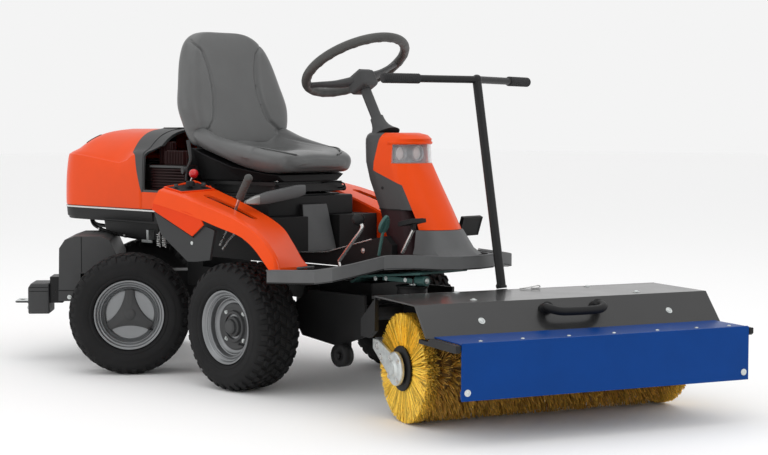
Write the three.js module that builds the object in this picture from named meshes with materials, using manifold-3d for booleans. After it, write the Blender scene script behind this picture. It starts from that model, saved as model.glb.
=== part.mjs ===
// Ride-on sweeper: an articulated front-implement rider with a powered rotary broom.
// Units are millimetres, +Z is up, +X is forward, +Y is the machine's left.
// The model is drawn from the centre of the front axle's ground line and then moved, so that the
// origin is the bottom centre of the whole machine as it stands.
import * as THREE from 'three';
import Module from 'manifold-3d';
import { mergeVertices } from 'three/addons/utils/BufferGeometryUtils.js';

const wasm = await Module();
wasm.setup();

// ---------------------------------------------------------------- driving dimensions
const GAP = 0.3;
const PLAY = 1.5;
const DEG = Math.PI / 180;

const TYRE_RADIUS = 203.5;
const TYRE_WIDTH = 170;
const BEAD_RADIUS = 104;
const FLANGE_RADIUS = 118;
const FLANGE_PLANE = 72;
const DISC_DEPTH = 41;
const HALF_TRACK = 355;
const WHEEL_SEGMENTS = 24;
const HUB_SEGMENTS = 16;

const PIVOT_X = -662;
const REAR_ARM = 228;
const REAR_LOCK = 49.5 * DEG;

const BROOM_X = 925;
const BROOM_YAW = -20 * DEG;
const BRUSH_RADIUS = 156.5;
const BRUSH_HALF = 436;
const BRUSH_Z = 156.5;
const HOOD_HALF = 475;
const HOOD_TOP = 353;
const HOOD_REAR = -107;
const HOOD_FRONT = 164;
const HOOD_LIP_X = 235;
const HOOD_LIP_Z = 270;
const SHEET = 4;
const FLAP_X = 401;
const FLAP_HALF = 455;
const FLAP_BOTTOM = 125;

const WHEEL_CENTRE = new THREE.Vector3(150, 0, 1034);
const WHEEL_RING = 170;
const GRIP_RADIUS = 14;
const WHEEL_TILT = 30 * DEG;
const HUB_DROP = 58;

const FENDER_INNER = 250;
const FENDER_RIDGE = 420;
const FENDER_OUTER = 437;

const BONNET_HALF = 270;
const BONNET_TAIL = -1240;
const BONNET_FRONT = -656;
const BONNET_BOTTOM = 548;

const ORIGIN_X = -101.7;
const ORIGIN_Y = 45.9;

// ---------------------------------------------------------------- materials
function finish(color, roughness, metalness) {
  return new THREE.MeshStandardMaterial({ color, roughness, metalness });
}

const ORANGE = finish(0xe8501c, 0.35, 0);
const CHARCOAL = finish(0x45484a, 0.6, 0);
const BLACK_STEEL = finish(0x151617, 0.5, 0.4);
const BLACK_PLASTIC = finish(0x1c1d1e, 0.6, 0);
const TYRE_RUBBER = finish(0x18191a, 0.85, 0);
const RIM_SILVER = finish(0xb9bcbf, 0.35, 0.8);
const VINYL = finish(0x3a3d3f, 0.55, 0);
const HOOD_PAINT = finish(0x3a3a3c, 0.5, 0.3);
const FLAP_BLUE = finish(0x0a4a94, 0.45, 0);
const BRISTLE = finish(0xd9a520, 0.8, 0);
const ZINC = finish(0xb8bdb8, 0.4, 0.8);
const CLEAR = finish(0xdfe8ec, 0.08, 0);
const RED_PLASTIC = finish(0xb81418, 0.35, 0);
const ENGINE_GREY = finish(0x2a2c2e, 0.55, 0.5);
const LINK_GREEN = finish(0x2f5f58, 0.4, 0.5);

// ---------------------------------------------------------------- solid helpers
function signedVolume(points, faces) {
  let volume = 0;
  const a = new THREE.Vector3();
  const b = new THREE.Vector3();
  const c = new THREE.Vector3();
  for (let i = 0; i < faces.length; i += 3) {
    a.fromArray(points, faces[i] * 3);
    b.fromArray(points, faces[i + 1] * 3);
    c.fromArray(points, faces[i + 2] * 3);
    volume += a.dot(b.cross(c)) / 6;
  }
  return volume;
}

// Any closed geometry as an indexed mesh of positions only, with its faces pointing out.
function closed(geometry) {
  const copy = new THREE.BufferGeometry();
  copy.setAttribute('position', geometry.getAttribute('position').clone());
  if (geometry.index) {
    copy.setIndex(geometry.index.clone());
  }
  const merged = mergeVertices(copy, 1e-3);
  const index = merged.index.array;
  const faces = [];
  for (let i = 0; i < index.length; i += 3) {
    const [a, b, c] = [index[i], index[i + 1], index[i + 2]];
    if (a !== b && b !== c && a !== c) {
      faces.push(a, b, c);
    }
  }
  if (signedVolume(merged.getAttribute('position').array, faces) < 0) {
    faces.reverse();
  }
  merged.setIndex(faces);
  return merged;
}

function toSolid(geometry) {
  const mesh = closed(geometry);
  return new wasm.Manifold(new wasm.Mesh({
    numProp: 3,
    vertProperties: new Float32Array(mesh.getAttribute('position').array),
    triVerts: new Uint32Array(mesh.index.array),
  }));
}

function fromSolid(solid) {
  const mesh = solid.getMesh();
  const geometry = new THREE.BufferGeometry();
  const points = new Float32Array(mesh.vertProperties);
  geometry.setAttribute('position', new THREE.BufferAttribute(points, 3));
  geometry.setIndex(Array.from(mesh.triVerts));
  return geometry;
}

function join(...geometries) {
  return fromSolid(geometries.map(toSolid).reduce((sum, next) => sum.add(next)));
}

function cut(base, ...tools) {
  return fromSolid(tools.map(toSolid).reduce((left, tool) => left.subtract(tool), toSolid(base)));
}

function common(a, b) {
  return fromSolid(toSolid(a).intersect(toSolid(b)));
}

function box(x0, x1, y0, y1, z0, z1) {
  const geometry = new THREE.BoxGeometry(x1 - x0, y1 - y0, z1 - z0);
  return geometry.translate((x0 + x1) / 2, (y0 + y1) / 2, (z0 + z1) / 2);
}

// An outline of [x, z] pairs, pushed from y0 to y1.
function sidePlate(outline, y0, y1) {
  const shape = new THREE.Shape(outline.map(([x, z]) => new THREE.Vector2(x, z)));
  const geometry = new THREE.ExtrudeGeometry(shape, { depth: y1 - y0, bevelEnabled: false });
  return geometry.rotateX(Math.PI / 2).translate(0, y1, 0);
}

// An outline of [x, y] pairs, pushed from z0 to z1.
function floorPlate(outline, z0, z1) {
  const shape = new THREE.Shape(outline.map(([x, y]) => new THREE.Vector2(x, y)));
  return new THREE.ExtrudeGeometry(shape, { depth: z1 - z0, bevelEnabled: false }).translate(0, 0, z0);
}

function rod(from, to, radius, segments = 12) {
  const a = new THREE.Vector3(...from);
  const b = new THREE.Vector3(...to);
  const axis = b.clone().sub(a);
  const geometry = new THREE.CylinderGeometry(radius, radius, axis.length(), segments);
  const turn = new THREE.Quaternion().setFromUnitVectors(new THREE.Vector3(0, 1, 0), axis.normalize());
  const middle = a.add(b).multiplyScalar(0.5);
  return geometry.applyQuaternion(turn).translate(middle.x, middle.y, middle.z);
}

function ball(centre, radius) {
  return new THREE.SphereGeometry(radius, 10, 6).translate(...centre);
}

// A round tube along a smooth curve through the given points.
function pipe(points, radius, steps = 24, sides = 10) {
  const path = new THREE.CatmullRomCurve3(points.map((p) => new THREE.Vector3(...p)));
  const section = new THREE.Shape();
  section.absarc(0, 0, radius, 0, 2 * Math.PI);
  return new THREE.ExtrudeGeometry(section, {
    steps, extrudePath: path, bevelEnabled: false, curveSegments: Math.ceil(sides / 2),
  });
}

// A profile of [radius, along] pairs turned about the Y axis.
function turned(profile, segments = WHEEL_SEGMENTS) {
  const points = profile.map(([r, y]) => new THREE.Vector2(r, y));
  return new THREE.LatheGeometry(points, segments, Math.PI / segments);
}

function ringNormalAxis(ring) {
  const normal = new THREE.Vector3();
  ring.forEach((point, i) => {
    const next = ring[(i + 1) % ring.length];
    normal.x += (point.y - next.y) * (point.z + next.z);
    normal.y += (point.z - next.z) * (point.x + next.x);
    normal.z += (point.x - next.x) * (point.y + next.y);
  });
  const size = [Math.abs(normal.x), Math.abs(normal.y), Math.abs(normal.z)];
  return size.indexOf(Math.max(...size));
}

// Triangles that close a ring; forward says whether the rim's edges run in the ring's own order.
function capFaces(ring, forward) {
  const drop = ringNormalAxis(ring);
  const flat = ring.map((p) => new THREE.Vector2(...p.toArray().filter((_, axis) => axis !== drop)));
  const triangles = THREE.ShapeUtils.triangulateShape(flat, []);
  const isStep = (from, to) => (from + 1) % ring.length === to;
  const runsForward = triangles.some(([a, b, c]) => isStep(a, b) || isStep(b, c) || isStep(c, a));
  return triangles.map(([a, b, c]) => (runsForward === forward ? [a, b, c] : [a, c, b]));
}

// A closed skin through rings of equal length, capped at its first and last ring.
function loft(rings) {
  const count = rings[0].length;
  const points = rings.flat().flatMap((p) => p.toArray());
  const faces = [];
  for (let r = 0; r + 1 < rings.length; r += 1) {
    for (let i = 0; i < count; i += 1) {
      const a = r * count + i;
      const b = r * count + ((i + 1) % count);
      faces.push(a, b, b + count, a, b + count, a + count);
    }
  }
  const last = (rings.length - 1) * count;
  faces.push(...capFaces(rings[0], false).flat());
  faces.push(...capFaces(rings[rings.length - 1], true).flat().map((i) => i + last));
  const geometry = new THREE.BufferGeometry();
  geometry.setAttribute('position', new THREE.Float32BufferAttribute(points, 3));
  geometry.setIndex(faces);
  return geometry;
}

function mirrored(geometry) {
  return closed(geometry.clone().scale(1, -1, 1));
}

// ---------------------------------------------------------------- assembly
const machine = new THREE.Group();
const rear = new THREE.Group();
rear.position.set(PIVOT_X, 0, 0);
rear.rotation.z = REAR_LOCK;
const broom = new THREE.Group();
broom.position.set(BROOM_X, 0, 0);
broom.rotation.z = BROOM_YAW;
machine.add(rear, broom);

function part(name, geometry, material, group = machine) {
  const mesh = new THREE.Mesh(closed(geometry), material);
  mesh.name = name;
  group.add(mesh);
  return mesh;
}

// ---------------------------------------------------------------- wheels
const FACET_RADIUS = TYRE_RADIUS / Math.cos(Math.PI / WHEEL_SEGMENTS);

function tyreProfile() {
  const half = TYRE_WIDTH / 2;
  const side = [[BEAD_RADIUS + GAP, 62], [FLANGE_RADIUS + GAP * 2, 64.5], [122, 77], [152, half],
    [184, half - 6], [FACET_RADIUS, half - 28]];
  const loop = [...side, ...side.map(([r, y]) => [r, -y]).reverse()];
  return [...loop, loop[0]];
}

function rimProfile() {
  const disc = FLANGE_PLANE - DISC_DEPTH;
  const seat = BEAD_RADIUS - GAP;
  const loop = [[FLANGE_RADIUS, FLANGE_PLANE], [FLANGE_RADIUS, 65], [seat, 64.5], [seat, -64.5],
    [FLANGE_RADIUS, -65], [FLANGE_RADIUS, -FLANGE_PLANE], [112, -FLANGE_PLANE], [98, -60], [98, disc - 13],
    [88, disc - 5], [30, disc - 5], [30, disc], [86, disc], [98, 50], [102, 62], [112, FLANGE_PLANE]];
  return [...loop, loop[0]];
}

// One solid: the silver rim with its closed hub.
function frontRim() {
  const disc = FLANGE_PLANE - DISC_DEPTH;
  const hub = turned([[0, -44], [28, -44], [28, disc + 1], [58, disc + 1], [58, disc + 12], [44, disc + 18],
    [30, disc + 20], [26, disc + 28], [0, disc + 28]], HUB_SEGMENTS);
  const face = turned([[0, disc - 5], [60, disc - 5], [60, disc + 2], [0, disc + 2]], HUB_SEGMENTS);
  return join(turned(rimProfile()), hub, face);
}

function rearRim() {
  const disc = FLANGE_PLANE - DISC_DEPTH;
  const hub = turned([[0, -44], [32, -44], [32, disc], [0, disc]], HUB_SEGMENTS);
  return join(turned(rimProfile()), hub);
}

// A cap with three broad arms, flared into each other by arcs.
function armCap() {
  const shape = new THREE.Shape();
  const tip = 84;
  const halfTip = 15;
  const waist = 26;
  for (let arm = 0; arm < 3; arm += 1) {
    const angle = Math.PI / 2 + arm * 120 * DEG;
    const along = new THREE.Vector2(Math.cos(angle), Math.sin(angle));
    const across = new THREE.Vector2(-along.y, along.x);
    const corner = (r, side) => along.clone().multiplyScalar(r).addScaledVector(across, side * halfTip);
    const valley = angle + 60 * DEG;
    const right = corner(tip, -1);
    const left = corner(tip, 1);
    if (arm === 0) {
      shape.moveTo(right.x, right.y);
    } else {
      shape.lineTo(right.x, right.y);
    }
    shape.lineTo(left.x, left.y);
    const next = new THREE.Vector2(Math.cos(angle + 120 * DEG), Math.sin(angle + 120 * DEG));
    const nextSide = new THREE.Vector2(-next.y, next.x);
    const end = next.clone().multiplyScalar(tip * 0.98).addScaledVector(nextSide, -halfTip);
    shape.quadraticCurveTo(Math.cos(valley) * waist, Math.sin(valley) * waist, end.x, end.y);
  }
  const star = new THREE.ExtrudeGeometry(shape, { depth: 10, bevelEnabled: false, curveSegments: 5 });
  return star.rotateX(Math.PI / 2);
}

function addWheel(name, rim, group, x, side) {
  const place = new THREE.Group();
  place.position.set(x, side * HALF_TRACK, TYRE_RADIUS);
  place.rotation.z = side > 0 ? 0 : Math.PI;
  group.add(place);
  part(`${name}_tyre`, turned(tyreProfile()), TYRE_RUBBER, place);
  part(`${name}_rim`, rim, RIM_SILVER, place);
  return place;
}

function addWheels() {
  const disc = FLANGE_PLANE - DISC_DEPTH;
  for (const [side, word] of [[-1, 'right'], [1, 'left']]) {
    addWheel(`front_${word}`, frontRim(), machine, 0, side);
    const place = addWheel(`rear_${word}`, rearRim(), rear, -REAR_ARM, side);
    part(`rear_${word}_cap`, armCap().translate(0, disc + 10 + GAP, 0), CHARCOAL, place);
  }
}

// ---------------------------------------------------------------- chassis
const NECK_BOTTOM = 430;
const NECK_TOP = 497;
const SPINE_TOP = 345;
const SEAT_BRIDGE_TOP = 611;

function mainFrame() {
  const spine = box(-600, 340, -110, 110, 275, SPINE_TOP);
  const post = box(-610, -520, -110, 110, 275, NECK_TOP);
  const neck = box(-820, -520, -140, 140, NECK_BOTTOM, NECK_TOP);
  const boss = rod([PIVOT_X, 0, 350], [PIVOT_X, 0, NECK_TOP - 5], 48, 20);
  const pin = rod([PIVOT_X, 0, 190], [PIVOT_X, 0, 400], 20, 20);
  const ears = box(66, 94, -155, 155, 268, 320);
  const riser = box(-550, -520, -110, 110, 480, SEAT_BRIDGE_TOP);
  const bridge = box(-550, -90, -150, 150, 588, SEAT_BRIDGE_TOP);
  return join(spine, post, neck, boss, pin, ears, riser, bridge);
}

function frontAxle() {
  const beam = rod([0, -HALF_TRACK + 45, TYRE_RADIUS], [0, HALF_TRACK - 45, TYRE_RADIUS], 27, 16);
  return join(beam, box(-55, 55, -80, 80, 165, 275 - GAP));
}

function engineBlock() {
  const crankcase = box(-1130, -700, -190, 190, 547, 640);
  const cooling = rod([-900, 0, 630], [-900, 0, 700], 150, 24);
  return join(crankcase, cooling, rod([-1080, 120, 560], [-1080, 120, 690], 34, 14));
}

// The plan outline of the bonnet at a height, drawn in by inset at its tail and sides.
function bonnetOutline(front, tailInset, sideInset) {
  const half = BONNET_HALF - sideInset;
  const tail = BONNET_TAIL + tailInset;
  const corner = Math.min(150, half * 0.6);
  const points = [[front, -half], [(front + tail + corner) / 2, -half]];
  for (let i = 0; i <= 5; i += 1) {
    const angle = -Math.PI / 2 - (i / 5) * (Math.PI / 2);
    points.push([tail + corner + corner * Math.cos(angle), -half + corner + corner * Math.sin(angle)]);
  }
  const left = points.map(([x, y]) => [x, -y]).reverse();
  return [...points, ...left];
}

const BONNET_LEVELS = [
  [BONNET_BOTTOM, 0, 0],
  [640, 2, 0],
  [700, 12, 4],
  [750, 38, 16],
  [790, 84, 42],
  [816, 150, 88],
  [829, 230, 150],
];

function bonnetLoft(front, inset) {
  return loft(BONNET_LEVELS.map(([z, tail, side]) => {
    const outline = bonnetOutline(front, tail + inset, side + inset);
    return outline.map(([x, y]) => new THREE.Vector3(x, y, z - inset));
  }));
}

function bonnet() {
  return cut(bonnetLoft(BONNET_FRONT, 0), bonnetLoft(BONNET_FRONT + 40, 5));
}

function bonnetBase() {
  const outline = bonnetOutline(-560, 8, 6);
  return floorPlate(outline, NECK_TOP + GAP, BONNET_BOTTOM - 2);
}

// The grey saddle in front of the bonnet, with an air window in each side.
function cowlOutline(inset) {
  const level = BONNET_LEVELS.map(([z, , side]) => [z, BONNET_HALF - side - inset]);
  const right = level.map(([z, half]) => [-half, z]);
  const left = level.map(([z, half]) => [half, z]).reverse();
  return [...right, ...left].map(([y, z]) => [y, z - inset]);
}

function cowlLoft(x0, x1, inset) {
  return loft([x0, x1].map((x) => cowlOutline(inset).map(([y, z]) => new THREE.Vector3(x, y, z))));
}

const COWL_BACK = -654;
const COWL_FRONT = -430;

function intakeCowl() {
  const shell = cut(cowlLoft(COWL_BACK, COWL_FRONT, 0), cowlLoft(COWL_BACK - 20, COWL_FRONT + 20, 8));
  const seatRoom = sidePlate([[-625, 900], [-600, 700], [-580, 500], [-300, 500], [-300, 900]], -228, 228);
  const window = sidePlate([[-648, 614], [-648, 738], [-606, 768], [-502, 786], [-452, 788], [-452, 640],
    [-470, 612]], -400, 400);
  const bridge = box(COWL_BACK, COWL_BACK + 30, -118, 118, 822, 834);
  return join(cut(shell, seatRoom, window), bridge);
}

// The grey panel along the top of the bonnet.
function bonnetPanel() {
  return box(-800, BONNET_FRONT, -118, 118, 829 + GAP, 834);
}

// Louvred screens behind both windows, tied by a bar under the saddle.
function intakeGrille() {
  const pieces = [];
  for (const side of [-1, 1]) {
    const y = side * 232;
    pieces.push(box(-646, -444, y - 3, y + 3, 600, 745));
    for (let row = 0; row < 5; row += 1) {
      const z = 622 + row * 25;
      pieces.push(box(-640, -450, Math.min(y, y + side * 13), Math.max(y, y + side * 13), z, z + 7));
    }
  }
  pieces.push(box(-646, -620, -234, 234, 640, 665));
  return join(...pieces);
}

// ---------------------------------------------------------------- bodywork
// Stations along a fender: inner edge, ridge and outer lower edge as [x, z].
const FENDER_STATIONS = [
  [[-378, 656], [-350, 632], [-366, 584]],
  [[-282, 632], [-247, 617], [-250, 566]],
  [[-155, 598], [-133, 594], [-110, 540]],
  [[-55, 568], [-34, 573], [-20, 520]],
  [[25, 540], [60, 548], [75, 500]],
  [[85, 510], [130, 522], [125, 480]],
  [[125, 470], [190, 484], [165, 455]],
  [[165, 424], [232, 443], [200, 425]],
  [[192, 401], [249, 402], [227, 401]],
];
const FENDER_SKIN = 6;

function fenderSkin() {
  return loft(FENDER_STATIONS.map(([inner, ridge, outer]) => [
    new THREE.Vector3(inner[0], -FENDER_INNER, inner[1]),
    new THREE.Vector3(ridge[0], -FENDER_RIDGE, ridge[1]),
    new THREE.Vector3(outer[0], -FENDER_OUTER, outer[1]),
    new THREE.Vector3(outer[0], -FENDER_OUTER + FENDER_SKIN, outer[1]),
    new THREE.Vector3(ridge[0], -FENDER_RIDGE + FENDER_SKIN, ridge[1] - FENDER_SKIN - 2),
    new THREE.Vector3(inner[0], -FENDER_INNER - FENDER_SKIN, inner[1] - FENDER_SKIN),
    new THREE.Vector3(inner[0], -FENDER_INNER - FENDER_SKIN, inner[1] - 40),
    new THREE.Vector3(inner[0], -FENDER_INNER, inner[1] - 40),
  ]));
}

function fender() {
  const panel = sidePlate([[-366, 590], [-372, 562], [-156, 484], [-92, 526], [-100, 550], [-250, 575]],
    -FENDER_OUTER, -FENDER_OUTER + FENDER_SKIN);
  const slot = box(-215, 40, -345, -322, 480, 700);
  return cut(join(fenderSkin(), panel), slot);
}

function sidePanel() {
  const face = [[-372, 556], [-156, 479], [-96, 519], [-50, 508], [-76, 412], [-150, 402], [-192, 400],
    [-335, 482]];
  const wall = sidePlate(face, -427, -417);
  const back = sidePlate([[-372, 556], [-335, 482], [-325, 488], [-360, 556]], -427, -300);
  return join(wall, back);
}

// How far the footplate rises towards its front and its middle.
function footplateHeight(x, y) {
  const forward = Math.min(Math.max((x - 215) / 265, 0), 1);
  return forward * (16 + Math.min(0.143 * (432 - Math.abs(y)), 33));
}

const FOOTPLATE_HALF = [[-60, 0], [-60, 240], [212, 240], [212, 432], [330, 434], [430, 432], [474, 400],
  [490, 340], [502, 215], [560, 150], [650, 118], [690, 70], [700, 0]];

function footplateOutline(inset) {
  const side = FOOTPLATE_HALF.map(([x, y]) => [
    x + (x > 205 ? -inset : inset * 0.5), Math.max(y - inset, 0),
  ]);
  return [...side, ...side.slice(1, -1).map(([x, y]) => [x, -y]).reverse()];
}

function sheared(geometry) {
  const position = geometry.getAttribute('position');
  for (let i = 0; i < position.count; i += 1) {
    position.setZ(i, position.getZ(i) + footplateHeight(position.getX(i), position.getY(i)));
  }
  return geometry;
}

function footplate() {
  const outer = sheared(floorPlate(footplateOutline(0), 358, 397));
  const wall = cut(outer, sheared(floorPlate(footplateOutline(14), 340, 420)));
  const floor = sheared(floorPlate(footplateOutline(13), 376, 386));
  return cut(join(wall, floor), box(-100, 560, -112, 112, 300, 600));
}

// The centre tunnel, rising to the pedestal under the console.
function tunnel() {
  const spineOutline = [[-12, 392], [-12, 424], [134, 432], [393, 496], [430, 470], [430, 392]];
  const spine = sidePlate(spineOutline, -110, 110);
  const foot = ovalRing({ z: 440, rear: 440, rearDepth: 88, front: 470, frontDepth: 38, half: 86 });
  const head = ovalRing({ z: 578, rear: 388, rearDepth: 88, front: 440, frontDepth: 38, half: 84 });
  const sides = [box(-420, -5, -244, -70, 400, 540), box(-420, -5, 70, 244, 400, 540)];
  const back = box(-420, -332, -244, 244, 400, 540);
  const ring = (z, x0, x1, half) => [[x0, -half], [x1, -half], [x1, half], [x0, half]]
    .map(([x, y]) => new THREE.Vector3(x, y, z));
  const seatBox = loft([ring(398, -334, -14, 72), ring(578, -334, -52, 55)]);
  return join(spine, loft([foot, head]), ...sides, back, seatBox);
}

function pulleyPlate() {
  return sidePlate([[280, 350], [330, 374], [590, 398], [590, 390], [334, 366], [288, 346]], -150, 60);
}

function fuelHose() {
  const route = [[-1150, -150, 489], [-1130, -150, 474], [-1050, -150, 466], [-930, -148, 465],
    [-832, -142, 466]];
  return pipe(route, 7, 14, 8);
}

// ---------------------------------------------------------------- console
// A horizontal ring with elliptic ends.
function ovalRing({ z, rear, rearDepth, front, frontDepth, half }, steps = 7) {
  const points = [];
  for (let i = 0; i <= steps; i += 1) {
    const angle = Math.PI / 2 + (i / steps) * Math.PI;
    points.push(new THREE.Vector3(rear + rearDepth * Math.cos(angle), half * Math.sin(angle), z));
  }
  for (let i = 0; i <= steps; i += 1) {
    const angle = -Math.PI / 2 + (i / steps) * Math.PI;
    points.push(new THREE.Vector3(front + frontDepth * Math.cos(angle), half * Math.sin(angle), z));
  }
  return points;
}

const CONSOLE_BOTTOM = 520;
const CONSOLE_LEVELS = [
  { z: CONSOLE_BOTTOM, rear: 408, rearDepth: 90, front: 507, frontDepth: 80, half: 88 },
  { z: 579, rear: 388, rearDepth: 90, front: 475, frontDepth: 75, half: 87 },
  { z: 668, rear: 343, rearDepth: 90, front: 425, frontDepth: 65, half: 86 },
  { z: 725, rear: 323, rearDepth: 88, front: 393, frontDepth: 60, half: 85 },
  { z: 784, rear: 312, rearDepth: 82, front: 393, frontDepth: 62, half: 79 },
  { z: 798, rear: 308, rearDepth: 78, front: 398, frontDepth: 64, half: 76 },
  { z: 810, rear: 304, rearDepth: 71, front: 392, frontDepth: 56, half: 67 },
  { z: 817, rear: 302, rearDepth: 62, front: 372, frontDepth: 40, half: 55 },
];
const SHELL_BOTTOM = 579;
// The seam between the grey shell and the orange cover, seen from the side.
const SPLIT_LINE = [[330, 860], [342, 815], [316, 700], [445, 655], [508, 550]];

function consoleBody() {
  return loft(CONSOLE_LEVELS.map((level) => ovalRing(level)));
}

function columnBore() {
  return rod(alongColumn(150), alongColumn(330), 21 + GAP * 2, 16);
}

function consoleShell() {
  const line = SPLIT_LINE.slice(0, 4).map(([x, z]) => [x - GAP, z]);
  const zone = sidePlate([[150, 860], ...line, [490, SHELL_BOTTOM], [150, SHELL_BOTTOM]], -200, 200);
  return cut(common(consoleBody(), zone), columnBore());
}

const LENS_BOTTOM = 722;
const LENS_TOP = 782;

function consoleCover() {
  const below = CONSOLE_BOTTOM - 1;
  const zone = sidePlate([...SPLIT_LINE, [521, below], [800, below], [800, 860]], -200, 200);
  const pocket = box(358, 600, -76, 76, LENS_BOTTOM, LENS_TOP);
  const mouth = box(398, 600, -120, 120, LENS_BOTTOM, LENS_TOP);
  return cut(common(consoleBody(), zone), pocket, mouth, columnBore());
}

function headlightLens() {
  const skin = (inset) => loft(CONSOLE_LEVELS.map((level) => ovalRing({
    ...level, front: level.front - inset, half: level.half - inset,
  })));
  const zone = box(398 + GAP * 2, 600, -120, 120, LENS_BOTTOM + GAP, LENS_TOP - GAP);
  return common(cut(skin(0), skin(4)), zone);
}

function headlampUnit() {
  const back = box(359, 368, -75, 75, LENS_BOTTOM + 2, LENS_TOP - 2);
  const bowls = [-1, 1].map((side) => rod([366, side * 38, 752], [396, side * 38, 752], 25, 20));
  const hollows = [-1, 1].map((side) => rod([378, side * 38, 752], [400, side * 38, 752], 21, 20));
  return cut(join(back, ...bowls), ...hollows);
}

function consoleSkirt() {
  const levels = [
    { z: 446, front: 575, frontDepth: 92, half: 104 },
    { z: 466, front: 548, frontDepth: 86, half: 97 },
    { z: CONSOLE_BOTTOM - 1, front: 510, frontDepth: 84, half: 90 },
  ];
  const body = loft(levels.map((level) => ovalRing({ ...level, rear: 440, rearDepth: 60 })));
  const foot = sidePlate([[514, 560], [514, 400], [800, 400], [800, 560]], -200, 200);
  const floor = sheared(floorPlate(footplateOutline(-3), 300, 397 + GAP));
  return cut(common(body, foot), floor);
}

// ---------------------------------------------------------------- steering
const STEER_AXIS = new THREE.Vector3(-Math.sin(WHEEL_TILT), 0, Math.cos(WHEEL_TILT));

function alongColumn(distance) {
  return WHEEL_CENTRE.clone().addScaledVector(STEER_AXIS, -distance).toArray();
}

function onWheel(radius, degrees, drop) {
  const forward = new THREE.Vector3(Math.cos(WHEEL_TILT), 0, Math.sin(WHEEL_TILT));
  const left = new THREE.Vector3(0, 1, 0);
  return WHEEL_CENTRE.clone()
    .addScaledVector(forward, radius * Math.cos(degrees * DEG))
    .addScaledVector(left, radius * Math.sin(degrees * DEG))
    .addScaledVector(STEER_AXIS, -drop)
    .toArray();
}

const SPOKE_ANGLES = [82, 222];

function steeringWheel() {
  const ring = new THREE.TorusGeometry(WHEEL_RING, GRIP_RADIUS, 8, 28);
  ring.rotateY(-WHEEL_TILT).translate(...WHEEL_CENTRE.toArray());
  const spokes = SPOKE_ANGLES.flatMap((angle) => [
    rod(onWheel(WHEEL_RING, angle, 0), onWheel(70, angle, 38), 11, 10),
    rod(onWheel(82, angle, 36), onWheel(10, angle, HUB_DROP - 6), 17, 10),
  ]);
  const hub = new THREE.BoxGeometry(74, 62, 52).rotateY(-WHEEL_TILT).translate(...alongColumn(HUB_DROP));
  return join(ring, ...spokes, hub);
}

function steeringColumn() {
  const tube = rod(alongColumn(HUB_DROP + 27), alongColumn(300), 17, 16);
  const collar = rod(alongColumn(205), alongColumn(300), 21, 16);
  return join(tube, collar);
}

// ---------------------------------------------------------------- seat
const SEAT_HINGE_X = -78;

function seatSupport() {
  const tray = box(-440, -80, -150, 150, 640, 652);
  const feet = [-1, 1].map((side) => box(-400, -120, side * 120 - 12, side * 120 + 12, 612, 645));
  const hinge = rod([SEAT_HINGE_X, -160, 628], [SEAT_HINGE_X, 160, 628], 10, 10);
  const lug = box(SEAT_HINGE_X - 35, SEAT_HINGE_X + 10, -140, 140, 620, 645);
  return join(tray, ...feet, hinge, lug);
}

function seatPan() {
  const ring = (x, half, low, high) => [[-half, high], [-half * 0.8, low], [half * 0.8, low], [half, high]]
    .map(([y, z]) => new THREE.Vector3(x, y, z));
  const base = loft([ring(-470, 190, 654, 762), ring(-400, 196, 654, 742), ring(-260, 190, 654, 702),
    ring(-120, 172, 654, 682), ring(-70, 150, 654, 676)]);
  return join(base, box(-545, -440, -150, 150, 700, 762),
    sidePlate([[-532, 720], [-560, 960], [-572, 960], [-545, 720]], -110, 110));
}

function cushionRing(x, half, bottom, edge, middle) {
  return [[-half * 0.86, bottom], [half * 0.86, bottom], [half, (bottom + edge) / 2 + 4], [half * 0.84, edge],
    [half * 0.45, middle], [-half * 0.45, middle], [-half * 0.84, edge], [-half, (bottom + edge) / 2 + 4]]
    .map(([y, z]) => new THREE.Vector3(x, y, z));
}

function seatCushion() {
  return loft([
    cushionRing(-30, 120, 700, 724, 726),
    cushionRing(-48, 165, 686, 742, 742),
    cushionRing(-110, 190, 684, 762, 756),
    cushionRing(-220, 205, 704, 778, 752),
    cushionRing(-330, 212, 736, 800, 756),
    cushionRing(-405, 212, 757, 828, 772),
    cushionRing(-440, 208, 768, 838, 790),
  ]);
}

// A cross-section of the backrest at a height along its lean.
function backrestRing(z, half, thick) {
  const centre = -456 - (z - 790) * 0.26;
  const section = [[-half, -0.2], [-half * 0.9, 0.5], [-half * 0.5, 0.38], [half * 0.5, 0.38],
    [half * 0.9, 0.5], [half, -0.2], [half * 0.8, -0.5], [-half * 0.8, -0.5]];
  return section.map(([y, depth]) => new THREE.Vector3(centre + depth * thick, y, z));
}

function seatBackrest() {
  return loft([
    backrestRing(846, 224, 84),
    backrestRing(900, 232, 86),
    backrestRing(984, 214, 84),
    backrestRing(1060, 194, 78),
    backrestRing(1120, 168, 66),
    backrestRing(1155, 132, 48),
    backrestRing(1170, 90, 26),
  ]);
}

// ---------------------------------------------------------------- controls
function liftLever() {
  const foot = [-86, -333, 520];
  const neck = [-40, -333, 606];
  const top = [6, -333, 672];
  return join(rod(foot, neck, 5, 8), rod(neck, top, 13, 10), ball(top, 14), ball(neck, 6));
}

function sideLever() {
  const pivot = new THREE.Vector3(-6, -96, 628);
  const tip = new THREE.Vector3(-38, -298, 595);
  const along = tip.clone().sub(pivot);
  const across = new THREE.Vector3(-along.y, along.x, 0).normalize();
  const ring = (share, width, depth) => {
    const centre = pivot.clone().addScaledVector(along, share);
    return [[-1, 1], [1, 1], [1, -1], [-1, -1]].map(([side, up]) => centre.clone()
      .addScaledVector(across, side * width).add(new THREE.Vector3(0, 0, up * depth)));
  };
  return loft([
    ring(-0.04, 10, 18),
    ring(0.1, 12, 20),
    ring(0.62, 12, 19),
    ring(0.9, 13, 13),
    ring(1.04, 9, 4),
  ]);
}

function throttleLever() {
  return join(rod([-338, -300, 650], [-322, -300, 676], 4, 8), ball([-320, -300, 679], 17));
}

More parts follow.
